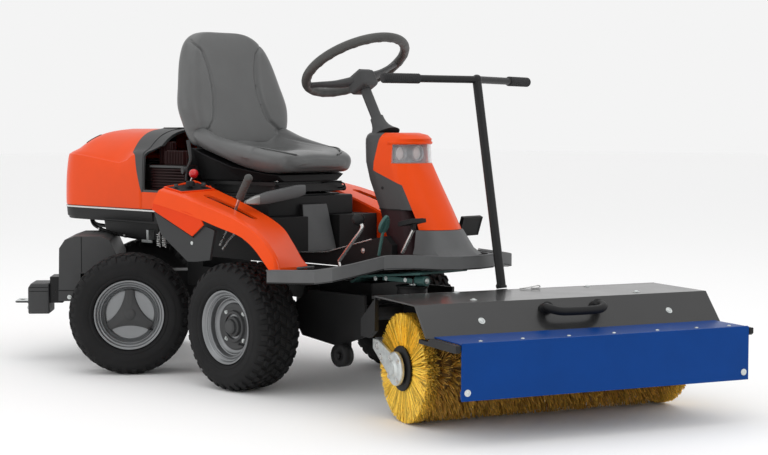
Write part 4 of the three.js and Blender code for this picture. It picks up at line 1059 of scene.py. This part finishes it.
def flat_arm(points, widths, depths):
    """A flattened arm through points, broad across and shallow along the steering axis."""
    line = smooth_line(points, 6)
    w = np.interp(np.linspace(0, 1, len(line)), np.linspace(0, 1, len(widths)), widths)
    d = np.interp(np.linspace(0, 1, len(line)), np.linspace(0, 1, len(depths)), depths)
    axis = np.array(STEER_AXIS)
    loops = []
    for i, p in enumerate(line):
        run = line[min(i + 1, len(line) - 1)] - line[max(i - 1, 0)]
        across = np.cross(axis, run)
        across /= np.linalg.norm(across)
        loops.append([p + across * w[i] * math.cos(t) + axis * d[i] * math.sin(t)
                      for t in np.linspace(0, 2 * math.pi, 16, endpoint=False)])
    return rings(loops)


def add_steering():
    arms = [flat_arm([on_wheel(172, a, 1), on_wheel(135, a, 14), on_wheel(80, a, 36), on_wheel(20, a, 52)],
                     [12, 15, 20, 26], [9, 9, 12, 17]) for a in (82, 222)]
    hub = moved(block(-40, 40, -34, 34, -34, 24),
                T(along_column(58)) @ Matrix.Rotation(math.radians(-30), 4, "Y"))
    piece("steering_grip", [wheel_rim()], STEER, "steering", MACHINE, 0, ["steering_wheel"],
          angle=60)
    piece("steering_arms", arms, CHARCOAL, "steering", MACHINE, 0, angle=50)
    piece("steering_hub", [hub], CHARCOAL, "steering", MACHINE, 13, segments=5)
    pad = moved(block(-29, 29, -24, 24, 24, 27),
                T(along_column(58)) @ Matrix.Rotation(math.radians(-30), 4, "Y"))
    piece("steering_hub_pad", [pad], DARK, "steering", MACHINE, 2)
    flare = [along_column(d) for d in (196, 210, 222, 234, 248, 262)]
    piece("column_boot", [tube(flare, [21.6, 22.6, 25, 30, 40, 54], 32)], CHARCOAL, "chassis", MACHINE, 0,
          angle=50)


HANDLE_TOP = np.array([681.0, 0, 977.0])
SWEEP = math.radians(13.5)


def bar_point(r, side):
    return HANDLE_TOP + np.array([-r * math.sin(SWEEP), side * r * math.cos(SWEEP), 0])


def ribbed(a, b, radius, pitch=7.0, depth=1.2, sides=24):
    """A round grip with ribs and rounded ends."""
    a, b = np.array(a, float), np.array(b, float)
    length = np.linalg.norm(b - a)
    stations, radii = [0.0, 1.5, 4.0], [radius * 0.7, radius * 0.93, radius]
    at = 6.0
    while at < length - 8:
        for shift, r in ((0, radius), (0.3, radius - depth), (0.55, radius - depth), (0.85, radius)):
            stations.append(at + shift * pitch * 0.7)
            radii.append(r)
        at += pitch
    stations += [length - 4, length - 1.5, length]
    radii += [radius, radius * 0.93, radius * 0.7]
    return tube([a + (b - a) * s / length for s in stations], radii, sides)


def add_handlebar():
    foot = np.array([785.0, 0, 355.0])
    pole = tube([foot, foot + (HANDLE_TOP - foot) * 0.5, HANDLE_TOP], 13.5, 28)
    bars = [tube([HANDLE_TOP, bar_point(120, s), bar_point(231, s)], 11, 24) for s in (-1, 1)]
    knee = [globe(tuple(HANDLE_TOP), 15.5, 28, 16)]
    piece("handlebar_tube", [pole] + bars + knee, BLACK, "handlebar", MACHINE, 0, ["angle_handle"],
          angle=50)
    piece("handlebar_grips", [ribbed(bar_point(203, s), bar_point(331, s), 15.0) for s in (-1, 1)], GRIP,
          "handlebar", MACHINE, 0, angle=35)
    collar = tube([foot, foot + (HANDLE_TOP - foot) * 0.012], 16.0, 28)
    piece("handlebar_collar", [collar] + bolt((785, -17, 362), (0, -1, 0), 5, 4), BLACK, "handlebar",
          MACHINE, 0.8)


# ------------------------------------------------------------------ levers and pedals
def add_levers():
    foot, neck, top = (-86, -333, 520), (-40, -333, 606), (6, -333, 672)
    piece("lift_lever_rod", [tube([foot, neck, (-34, -333, 614)], 5, 16),
                             globe((-86, -333, 520), 7, 16, 10)], STEEL,
          "lever_lift", MACHINE, 0, ["lift_lever"])
    piece("lift_lever_grip", [ribbed(neck, (9.5, -333, 677), 13.0, 8.0, 1.0), globe(top, 14.0, 24, 14)],
          STEER, "lever_lift", MACHINE, 0, angle=35)
    pivot, tip = np.array([-6.0, -96, 628]), np.array([-38.5, -303, 594])
    along = tip - pivot
    across = np.array([-along[1], along[0], 0]) / np.hypot(along[0], along[1])

    def ring(share, width, depth):
        centre = pivot + along * share
        return [tuple(centre + across * width * s + np.array([0, 0, depth * u]))
                for s, u in ((-1, 0.7), (-0.7, 1), (0.7, 1), (1, 0.7), (1, -0.7), (0.7, -1), (-0.7, -1),
                             (-1, -0.7))]

    bar = rings([ring(-0.04, 9, 16), ring(0.02, 10.5, 18), ring(0.1, 12, 20), ring(0.62, 12, 19),
                 ring(0.80, 12.4, 15)])
    piece("side_lever_bar", [bar], LEVER_GREY, "lever_side", MACHINE, 0, ["side_lever"],
          angle=40)
    end = rings([ring(0.78, 11.6, 15), ring(0.82, 12.4, 14.6), ring(0.9, 12.2, 12), ring(1.0, 10, 6),
                 ring(1.035, 7, 3)])
    piece("side_lever_tip", [end], LEVER_TIP, "lever_side", MACHINE, 0, angle=40)
    rod = smooth_line([(286, -200, 418), (318, -200, 451), (356, -200, 489), (383, -200, 515),
                       (391, -200, 530), (383, -200, 541), (374, -200, 551)], 5)
    piece("release_rod", [tube(rod, 6, 18)], STEEL, "lever_release", MACHINE, 0, ["release_lever"])
    knob = [globe((374, -200, 551), 20.5, 32, 18)]
    knob += [cylinder((379, -200, 545.5), (387, -200, 535.5), 9.5, 24, 7.5)]
    piece("release_knob", knob, DARK, "lever_release", MACHINE, 0, angle=40)


def add_pedals():
    forward = T((556, -150, 548)) @ Matrix.Rotation(math.radians(-12), 4, "Y")
    ribs = [moved(block(x, x + 3.2, -27, 27, 5.5, 8.2), forward) for x in range(-27, 26, 8)]
    piece("forward_pedal_ribs", ribs, GRIP, "pedal_forward", MACHINE, 0.7)
    piece("forward_pedal_rod", [tube([(515, -150, 454), (562, -150, 526)], 5.7, 18)], STEEL, "pedal_forward")
    reverse = T((491, -202, 541)) @ Matrix.Rotation(math.radians(24), 4, "Y")
    leaf = [(18 * math.cos(t) * (1 - 0.25 * math.sin(t)), 30 * math.sin(t))
            for t in np.linspace(0, 2 * math.pi, 32, endpoint=False)]
    pad = [rings([[(h, y * s, z * s) for y, z in leaf] for h,
                  s in ((-6, 0.9), (-4.5, 1.0), (3, 1.0), (5, 0.94))])]
    pad += [block(5, 9, -4, 4, -24, 22)]
    pedal = [moved(s, reverse) for s in pad] + [tube([(470, -206, 446), (486, -204, 518)], 5, 16)]
    piece("reverse_pedal_leaf", pedal, GREEN, "pedal_reverse", MACHINE, 0.6, ["reverse_pedal"])
    ribs = [moved(block(-8.0, -5.8, -11, 11, z, z + 2.6), reverse) for z in range(-19, 20, 7)]
    piece("reverse_pedal_ribs", ribs, DARK, "pedal_reverse", MACHINE, 0.5)
    brake = T((478, 190, 520)) @ Matrix.Rotation(math.radians(20), 4, "Y")
    ribs = [moved(block(-8.2, -5.5, -41, 41, z, z + 3.2), brake) for z in range(-28, 27, 8)]
    frame_bars = [moved(block(5.5, 8.0, -44, 44, z0, z1), brake) for z0, z1 in ((-31, -27), (27, 31))]
    frame_bars += [moved(block(5.5, 8.0, y0, y1, -31, 31), brake) for y0, y1 in ((-44, -40), (40, 44))]
    piece("brake_pedal_ribs", ribs + frame_bars, GRIP, "pedal_brake", MACHINE, 0.7)


# ------------------------------------------------------------------ console and floor
def oval_ring(z, rear, rear_depth, front, front_depth, half, steps=24):
    points = []
    for i in range(steps + 1):
        a = math.pi / 2 + i / steps * math.pi
        points.append((rear + rear_depth * math.cos(a), half * math.sin(a), z))
    for i in range(steps + 1):
        a = -math.pi / 2 + i / steps * math.pi
        points.append((front + front_depth * math.cos(a), half * math.sin(a), z))
    return points


def add_console():
    pedestal = rings([oval_ring(434, 442, 88.8, 472, 38.8, 86.8),
                      oval_ring(578.4, 388, 88.8, 440, 38.8, 84.8)])
    piece("pedestal_skin", [pedestal], MAROON, "chassis", MACHINE, 0, angle=40)
    brow = []
    for z, f, fd, h in ((781, 393, 63.5, 80.5), (783.6, 393.5, 65.5, 82), (787, 394, 66, 82),
                        (790, 394, 64.5, 80)):
        brow.append(oval_ring(z, 380, 4, f, fd, h))
    piece("console_brow", [rings(brow)], ORANGE, "chassis", MACHINE, 0, angle=50)
    lamps = []
    for side in (-1, 1):
        at = T((391, side * 38, 752)) @ Matrix.Rotation(math.radians(90), 4, "Z")
        lamps.append(moved(spin([(0, 1.5), (8, 1.2), (15, -0.6), (20.6, -4), (20.6, -8), (0, -8)], 40,
                                False), at
                           @ Matrix.Rotation(math.pi, 4, "Z")))
    piece("lamp_glasses", lamps, LAMP_FACE, "chassis", MACHINE, 0, angle=50)
    hoops = [moved(spin([(21.5, 0), (24.5, 1.6), (27, 0), (26, -5), (22, -5)], 40), T((396, s * 38, 752))
                   @ Matrix.Rotation(math.radians(-90), 4, "Z")) for s in (-1, 1)]
    piece("lamp_rings", hoops, LAMP, "chassis", MACHINE, 0, angle=40)
    # Dark discs over the console's screw holes: painted shade in the holes.
    holes = [cylinder((362.8, s * 84, 644.8), (362.8, s * 87.4, 644.8), 5.0, 18) for s in (-1, 1)]
    piece("console_screw_holes", holes, DARK, "chassis", MACHINE, 0.4)
    belt = rings([oval_ring(577.0, 388.6, 91.0, 440, 38.8, 87.9),
                  oval_ring(581.0, 387.2, 91.0, 440, 38.8, 87.9)])
    piece("console_belt", [belt], DARK, "chassis", MACHINE, 0, angle=40)


FOOT_HALF = [(-60, 240), (212, 240), (212, 432), (330, 434), (430, 432), (474, 400), (490, 340), (502, 215),
             (560, 150), (650, 118), (690, 70), (700, 0)]


def foot_height(x, y):
    forward = min(max((x - 215) / 265, 0), 1)
    return forward * (16 + min(0.143 * (432 - abs(y)), 33))


def foot_line(z, inset, side, start=1):
    """The footplate's edge on one side, finely divided so that it follows the rise."""
    outline = [(x + (-inset if x > 205 else inset * 0.5), max(y - inset, 0)) for x, y in FOOT_HALF[start:]]
    line = []
    for (xa, ya), (xb, yb) in zip(outline, outline[1:]):
        for t in np.linspace(0, 1, 8, endpoint=False):
            x, y = xa + (xb - xa) * t, ya + (yb - ya) * t
            line.append((x, side * y, z + foot_height(x, y)))
    x, y = outline[-1]
    line.append((x, side * y, z + foot_height(x, y)))
    return line


def add_footplate():
    right = foot_line(397, 2.4, -1)
    left = foot_line(397, 2.4, 1)
    piece("footplate_lip", [tube(right + left[::-1][1:], 3.4, 10)], SKIRT, "chassis", MACHINE, 0, angle=60)
    lower = foot_line(360, 1.6, -1)[8:]
    lower_left = foot_line(360, 1.6, 1)[8:]
    piece("footplate_hem", [tube(lower + lower_left[::-1][1:], 2.6, 8)], DARK, "chassis", MACHINE, 0,
          angle=60)
    ribs = []
    for side in (-1, 1):
        for k in range(15):
            x = 232 + k * 16
            inner = 130 if x < 440 else 150
            outer = 412 if x < 440 else 412 - (x - 440) * 1.3
            if outer - inner < 40:
                continue
            ends = [(x, side * inner), (x, side * outer)]
            low = [(px, py, 385.6 + foot_height(px, py)) for px, py in ends]
            ribs.append(tube(low, 2.4, 8))
    piece("footplate_ribs", ribs, GRIP, "chassis", MACHINE, 0, angle=60)
    braces = []
    for side in (-1, 1):
        for x in (250, 330, 410):
            y0, y1 = sorted((side * 150, side * 418))
            web = [[(x, y, 375 + foot_height(x, y)), (x + 4, y, 375 + foot_height(x, y)),
                    (x + 4, y, 362 + foot_height(x, y)), (x, y, 362 + foot_height(x, y))]
                   for y in np.linspace(y0, y1, 8)]
            braces.append(rings(web))
    piece("footplate_braces", braces, DARK, "chassis", MACHINE, 0.6)
    edge = [(-12, 425), (60, 428), (134, 433.5), (250, 462), (340, 484)]
    trims = [tube([(x, s * 111, z) for x, z in edge], 2.6, 10) for s in (-1, 1)]
    piece("tunnel_trim", trims, STEEL, "chassis", MACHINE, 0, angle=60)
    front = [[(-12.5 - k, -70 + k * 0.1, 400), (-12.5 - k, 70, 400), (-50.8 - k, 53.5, 577),
              (-50.8 - k, -53.5, 577)]
             for k in (0, 3)]
    piece("seat_box_front", [rings(front)], SKIRT, "chassis", MACHINE, 1.0)
    piece("seat_box_block", [block(-335, -66, -190, 190, 538, 606)], DARK, "chassis", MACHINE, 6)
    bolts = []
    for s in (-1, 1):
        bolts += bolt((300, s * 110, 446), (0, s, 0), 5.5, 4, round_head=True)
    piece("tunnel_bolts", bolts, ZINC, "chassis", MACHINE, 0.5)
    floor = [block(-58, 214, *sorted((s * 112, s * 262)), 386, 390) for s in (-1, 1)]
    piece("footwell_floor", floor, MATT, "chassis", MACHINE, 1.0)


def add_underbody():
    rods = [tube([(392, 96, 372), (470, 210, 388)], 4.0, 12),
            tube([(430, -64, 380), (470, 60, 386), (452, 250, 386)], 3.2, 12),
            tube([(250, -150, 372), (300, -200, 372), (286, -200, 418)], 4.5, 12)]
    piece("pedal_rods", rods, STEEL, "chassis", MACHINE, 0)
    bracket = [cylinder((556, -128, 371), (598, -128, 371), 15, 28), block(430, 556, -151, -147, 364, 378)]
    piece("pulley_brackets", bracket, GREEN, "chassis", MACHINE, 1.5)
    heads = []
    for x, z in ((400, 368), (446, 371), (530, 372)):
        heads += bolt((x, -152, z), (0, -1, 0), 4.5, 3)
    heads += bolt((598, -128, 371), (1, 0, 0), 5.5, 4)
    piece("pulley_bolts", heads, ZINC, "chassis", MACHINE, 0.5)
    pulley = [(0, -17), (48, -17), (52, -15), (46, -7), (46, 7), (52, 15), (48, 17), (0, 17)]
    turn = T((520, -112, 336)) @ Matrix.Rotation(math.radians(90), 4, "X")
    piece("drive_pulley", [moved(spin(pulley, 48, False), turn)], DARK, "chassis", MACHINE, 0.8)
    hub = moved(spin([(0, 24), (11, 23), (12, 17), (0, 17)], 24, False), turn)
    piece("drive_pulley_hub", [hub], ZINC, "chassis", MACHINE, 0.5)
    hose = smooth_line([(-1128, -168, 500), (-1085, -182, 470), (-1000, -186, 452), (-880, -184, 440),
                        (-790, -176, 446), (-730, -168, 470)], 8)
    piece("breather_hose", [tube(hose, 6.0, 14)], DARK, "chassis", MACHINE, 0)
    sump = [(-1005, 455), (-985, 438), (-720, 424), (-676, 424), (-676, 505), (-1020, 505)]
    piece("engine_tray", [prism(sump, "y", -188, 188)], BLACK, "chassis", MACHINE, 8)
    clips = []
    for x, y, z in ((-1040, -186, 458), (-880, -184, 440)):
        clips.append(tube([(x - 4, y, z), (x + 4, y, z)], 8.0, 18))
    piece("hose_clips", clips, STEEL, "chassis", MACHINE, 0.6)
    plate = [block(-742, -682, -214, -206, 424, 434), block(-712, -700, -214, -170, 434, 470)]
    piece("support_bracket", plate, ZINC, "chassis", MACHINE, 1.2)
    coils = []
    for x in (-640, -608):
        turns, steps = 7, 84
        coils.append(tube([(x + 7 * math.cos(2 * math.pi * turns * k / steps),
                            -212 + 7 * math.sin(2 * math.pi * turns * k / steps), 414 + 44 * k / steps)
                           for k in range(steps + 1)], 1.8, 8))
        coils.append(tube([(x, -212, 456), (x, -205, 470), (x, -198, 486)], 2.2, 8))
    piece("return_springs", coils, STEEL, "chassis", MACHINE, 0)
    rods = [tube([(-86, -338, 516), (-118, -342, 470), (-128, -342, 452)], 4.2, 12),
            tube([(-60, -330, 500), (-104, -334, 462), (-122, -336, 440)], 4.2, 12)]
    piece("lift_rods", rods, STEEL, "chassis", MACHINE, 0)
    bolts = bolt((-760, -150, 486), (0, -1, 0), 7, 5) + bolt((-905, -150, 486), (0, -1, 0), 7, 5)
    bolts += bolt((-166.5, -427, 462), (0, -1, 0), 6.5, 3.4, washer=False, round_head=True)
    bolts += bolt((-166.5, 427, 462), (0, 1, 0), 6.5, 3.4, washer=False, round_head=True)
    piece("frame_bolts", bolts, ZINC, "chassis", MACHINE, 0.5)


def add_rear():
    seams = [block(-499.2, -330, -165.8, 165.8, 260, 263), block(-496.4, -494, -120, 120, 300, 302)]
    seams += [block(-418, -415, -165.7, -160, 325, 451), block(-418, -415, 160, 165.7, 325, 451)]
    piece("rear_cover_seams", seams, DARK, "rear_section", REAR, 0.6)
    # Dark strips along the bumper's side grooves: painted shade in the grooves.
    grooves = [block(-616, -547, *sorted((s * 67.6, s * 68.7)), z, z + 2.5) for s in (-1, 1)
               for z in (248, 262)]
    piece("rear_bumper_grooves", grooves, DARK, "rear_section", REAR, 0.8)
    plate = [block(-667.5, -620.5, -44, 44, 212.1, 213.6)]
    piece("tow_plate_face", plate, ZINC, "rear_section", REAR, 1.4)
    # A dark disc over the tow pin hole: painted shade in the hole.
    pin = [cylinder((-648, 0, 213.2), (-648, 0, 214.2), 9, 28)]
    piece("tow_plate_hole", pin, DARK, "rear_section", REAR, 0.3)
    heads = bolt((-620, -52, 190), (-1, 0, 0), 5, 3.4) + bolt((-620, 52, 190), (-1, 0, 0), 5, 3.4)
    heads += bolt((-460, -165, 238), (0, -1, 0), 5, 3.4) + bolt((-460, 165, 238), (0, 1, 0), 5, 3.4)
    piece("rear_bolts", heads, ZINC, "rear_section", REAR, 0.5)


def add_engine():
    fins = [block(-1060, -830, -112, 112, z, z + 3) for z in range(640, 716, 9)]
    piece("engine_fins", fins, ENGINE, "chassis", MACHINE, 0.8)


# ------------------------------------------------------------------ broom
SLOPE = Vector((235 - 164, 0, 270 - 353)).normalized()
SLOPE_OUT = Vector((-SLOPE.z, 0, SLOPE.x))


def on_slope(down, lift, y):
    return (164 + SLOPE.x * down + SLOPE_OUT.x * lift, y, 353 + SLOPE.z * down + SLOPE_OUT.z * lift)


def add_hood():
    silver = []
    for y in (-292, 318):
        silver += bolt(on_slope(62, 0, y), tuple(SLOPE_OUT), 6.5, 4, round_head=True)
    for x, y in ((-88, -222), (110, 268), (110, -268), (-88, 222)):
        silver += bolt((x, y, 353), (0, 0, 1), 6.5, 4.5, round_head=True)
    piece("hood_bolts", silver, ZINC, "broom_carrier", BROOM, 0)
    clip = smooth_line([(-92, -8, 356), (-92, 20, 358.5), (-92, 52, 362.5), (-92, 60, 360), (-92, 56, 356),
                        (-92, 30, 355.5)], 6)
    piece("hood_clip", [tube(clip, 1.9, 10)], STEEL, "broom_carrier", BROOM, 0)
    hem = [tube([(-106, y, 350.5) for y in (-474, 0, 474)], 3.0, 10)]
    for s in (-1, 1):
        hem.append(tube([(-104, s * 474, 350.6), (163, s * 474, 350.6), (233, s * 474, 270.4)], 2.3, 8))
    piece("hood_edges", hem, HOOD, "broom_carrier", BROOM, 0, angle=60)
    feet = []
    for s in (-1, 1):
        outline = [on_slope(34 + 17 * math.sin(t), 0, s * 82 + 22 * math.cos(t))
                   for t in np.linspace(0, 2 * math.pi, 28, endpoint=False)]
        levels = []
        for lift, scale in ((0.5, 1.0), (6, 0.97), (13, 0.86), (20, 0.70)):
            centre = Vector(on_slope(34, 0, s * 82))
            levels.append([tuple(centre + (Vector(p) - centre) * scale + SLOPE_OUT * lift) for p in outline])
        feet.append(rings(levels))
    grip = smooth_line([on_slope(34, 10, -84), on_slope(44, 22, -89), on_slope(60, 34, -80),
                        on_slope(70, 39, -56),
                        on_slope(72, 40, 0), on_slope(70, 39, 56), on_slope(60, 34, 80),
                        on_slope(44, 22, 89), on_slope(34, 10, 84)], 6)
    piece("hood_handle_grip", feet + [tube(grip, 12.0, 22)], DARK, "broom_carrier", BROOM, 0,
          ["hood_handle"], angle=40)


def add_flap():
    shelf = [(239.2, 275), (386, 275), (391.5, 273.4), (392.6, 270.4), (389, 270.4), (384, 271.4),
             (239.2, 271.2)]
    piece("flap_shelf_sheet", [prism(shelf, "y", -453, 453)], BLUE, "broom_carrier", BROOM, 0.5,
          ["flap_shelf"])
    arm = [(175, 250), (394, 250), (401, 255), (401, 271), (241, 271), (229, 262), (175, 262)]
    arms = [prism(arm, "y", *sorted((s * 455, s * 469))) for s in (-1, 1)]
    bar = [tube([(389, y, 262) for y in (-466, 0, 466)], 6, 18)]
    ends = [cylinder((389, s * 466, 262), (389, s * 469.2, 262), 9, 20) for s in (-1, 1)]
    piece("flap_arms", arms + bar + ends, BLACK, "broom_carrier", BROOM, 1.6)
    rivets = []
    for y in (-380, -254, -112, 30, 170, 300, 410):
        rivets += bolt((366, y, 275), (0, 0, 1), 5.5, 2.6, washer=False, round_head=True)
    piece("shelf_rivets", rivets, ZINC, "broom_carrier", BROOM, 0)
    bolts = []
    for s in (-1, 1):
        bolts += bolt((401, s * 436, 147), (1, 0, 0), 6.0, 3.2, round_head=True)
    piece("flap_bolts", bolts, ZINC, "flap", BROOM, 0)
    lip = [(401.4, 276), (397, 277.2), (393.6, 275.6), (395, 274.6), (397.4, 275.4), (400.4, 274.2),
           (401.4, 270)]
    piece("flap_fold", [prism(lip, "y", -450, 450)], BLUE, "flap", BROOM, 0.3)


def add_bearing():
    y = -460
    rim = [(0, -4), (30, -4), (44, -3.4), (47.5, -1), (48.5, 2), (48.5, 4), (0, 4)]
    seat = [(0, -11), (14, -11), (20, -9.5), (24, -6), (27, -3.5), (34, -3), (34, 3), (0, 3)]
    place = BROOM @ T((0, y, BRUSH_RADIUS))
    piece("bearing_flange", [spin(rim, 48, False), spin(seat, 40, False)], ZINC, "broom_carrier", place, 0,
          angle=30)
    heads = []
    for k in range(4):
        t = math.radians(40 + 90 * k)
        heads += bolt((38 * math.cos(t), -3.6, 38 * math.sin(t)), (0, -1, 0), 5.2, 4)
    heads += bolt((-118, 0, 50), (0, -1, 0), 7, 5) + bolt((-92, 0, 22), (0, -1, 0), 7, 5)
    piece("bearing_bolts", heads, STEEL, "broom_carrier", place, 0.4)
    dish = [(0, -4.6), (40, -4.6), (56, -3.4), (62, -1.2), (64, 0), (64, 3), (0, 3)]
    for s in (-1, 1):
        face = BROOM @ T((0, s * 441, BRUSH_RADIUS)) @ Matrix.Rotation(0 if s < 0 else math.pi, 4, "Z")
        piece(f"brush_end_disc_{'right' if s < 0 else 'left'}", [spin(dish, 48, False)], DARK, "brush", face,
              0, angle=30)


def strand_mesh(angle, y0, lean, spread, root, width, short=146.0):
    """Three-sided bristles from the core outwards; returns corner points of shape (count, 3, 3, 3)."""
    count = len(angle)
    swirl = RNG.normal(0, 0.035, count)
    bend = RNG.normal(0, 0.05, count)
    shift = lean + RNG.normal(0, spread, count)
    tip = 156.3 - RNG.gamma(1.6, (156.3 - short) / 5, count)
    thick = width * RNG.uniform(0.75, 1.3, count)
    stations = []
    for share in (0.0, 0.55, 1.0):
        radius = root + (tip - root) * share
        turn = angle + swirl * share + bend * share ** 2
        y = y0 + shift * share ** 1.5
        out = np.stack([np.cos(turn), np.zeros(count), np.sin(turn)], 1)
        across = np.stack([-np.sin(turn), np.zeros(count), np.cos(turn)], 1)
        side = np.tile([0.0, 1.0, 0.0], (count, 1))
        middle = out * radius[:, None] + side * y[:, None]
        w = (thick * (1.0 - 0.3 * share))[:, None]
        stations.append(np.stack([middle + across * w, middle - across * 0.5 * w + side * 0.87 * w,
                                  middle - across * 0.5 * w - side * 0.87 * w], 1))
    return np.stack(stations, 1)


def tufted_angles(count, tufts):
    """Angles gathered into tufts, with a few strays."""
    centre = RNG.integers(0, tufts, count) + RNG.normal(0, 0.24, count)
    return centre * 2 * math.pi / tufts + RNG.normal(0, 0.01, count)


def add_bristles():
    half = BRUSH_HALF
    groups, glow, tone = [], [], []

    def grow(made, lows, highs, dim, bright):
        groups.append(made)
        glow.append(RNG.uniform(lows, highs, len(made)))
        tone.append(RNG.uniform(dim, bright, len(made)))

    for s in (-1, 1):
        for inner, outer, count, lo, hi, lean in ((424, 433, 1300, 0.85, 1.0, 2.0),
                                                  (410, 426, 1300, 0.7, 1.0, 6.0),
                                                  (388, 412, 1500, 0.3, 0.8, 9.0)):
            y0 = s * RNG.uniform(inner, outer, count)
            grow(strand_mesh(tufted_angles(count, 44), y0, s * lean, 4.0, 60, 1.7), lo, hi, 0.45, 1.15)
    rows = 24
    for k in range(rows):
        count = 460
        centre = -388 + 776 * (k + 0.5) / rows
        angle = tufted_angles(count, 40)
        y0 = centre + RNG.uniform(-8, 8, count) + 8.0 * np.sin(3 * angle + 0.9 * k)
        grow(strand_mesh(angle, y0, 0, 6.5, 92, 1.7), 0.0, 0.45, 0.4, 1.25)
    points = np.concatenate(groups)
    points[:, :, :, 1] = np.clip(points[:, :, :, 1], -half, half)
    verts = points.reshape(-1, 3) + np.array([0, 0, BRUSH_RADIUS])
    base = np.arange(len(points))[:, None] * 9
    quads = []
    for k in range(2):
        for i in range(3):
            j = (i + 1) % 3
            quads.append([3 * k + i, 3 * k + j, 3 * k + 3 + j, 3 * k + 3 + i])
    faces = (base[:, :, None] + np.array(quads)[None]).reshape(-1, 4).tolist()
    faces += (base + np.array([6, 7, 8])[None]).tolist()
    mesh = bpy.data.meshes.new("bristles")
    place = np.array(BROOM)
    world = verts @ place[:3, :3].T + place[:3, 3]
    mesh.from_pydata(world.tolist(), [], faces)
    for name, values in (("end_ring", glow), ("tone", tone)):
        layer = mesh.attributes.new(name, "FLOAT", "POINT")
        layer.data.foreach_set("value", np.repeat(np.concatenate(values), 9).astype(np.float32))
    mesh.materials.append(BRISTLE)
    brush = bpy.data.objects.new("bristles", mesh)
    SCENE.collection.objects.link(brush)
    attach(brush, "brush")
    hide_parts("brush_bristles")
    core = BROOM @ T((0, 0, BRUSH_RADIUS))
    # A dark core surface seen between the tufts: painted shade deep in the brush.
    piece("shaded_bristle_bed", [spin([(60, -400), (106, -396), (112, -386), (112, 386), (106, 396), (60, 400)],
                               64)],
          SHADED_BRISTLE_BED, "brush", core, 0, angle=40)


add_camera()
add_studio()
add_floor()
dress_cad()
add_wheels()
add_cushion()
add_backrest()
add_under_seat()
add_bonnet()
add_saddle()
add_intake()
add_fenders()
add_control_panel()
add_steering()
add_handlebar()
add_levers()
add_pedals()
add_console()
add_footplate()
add_underbody()
add_rear()
add_engine()
add_hood()
add_flap()
add_bearing()
add_bristles()
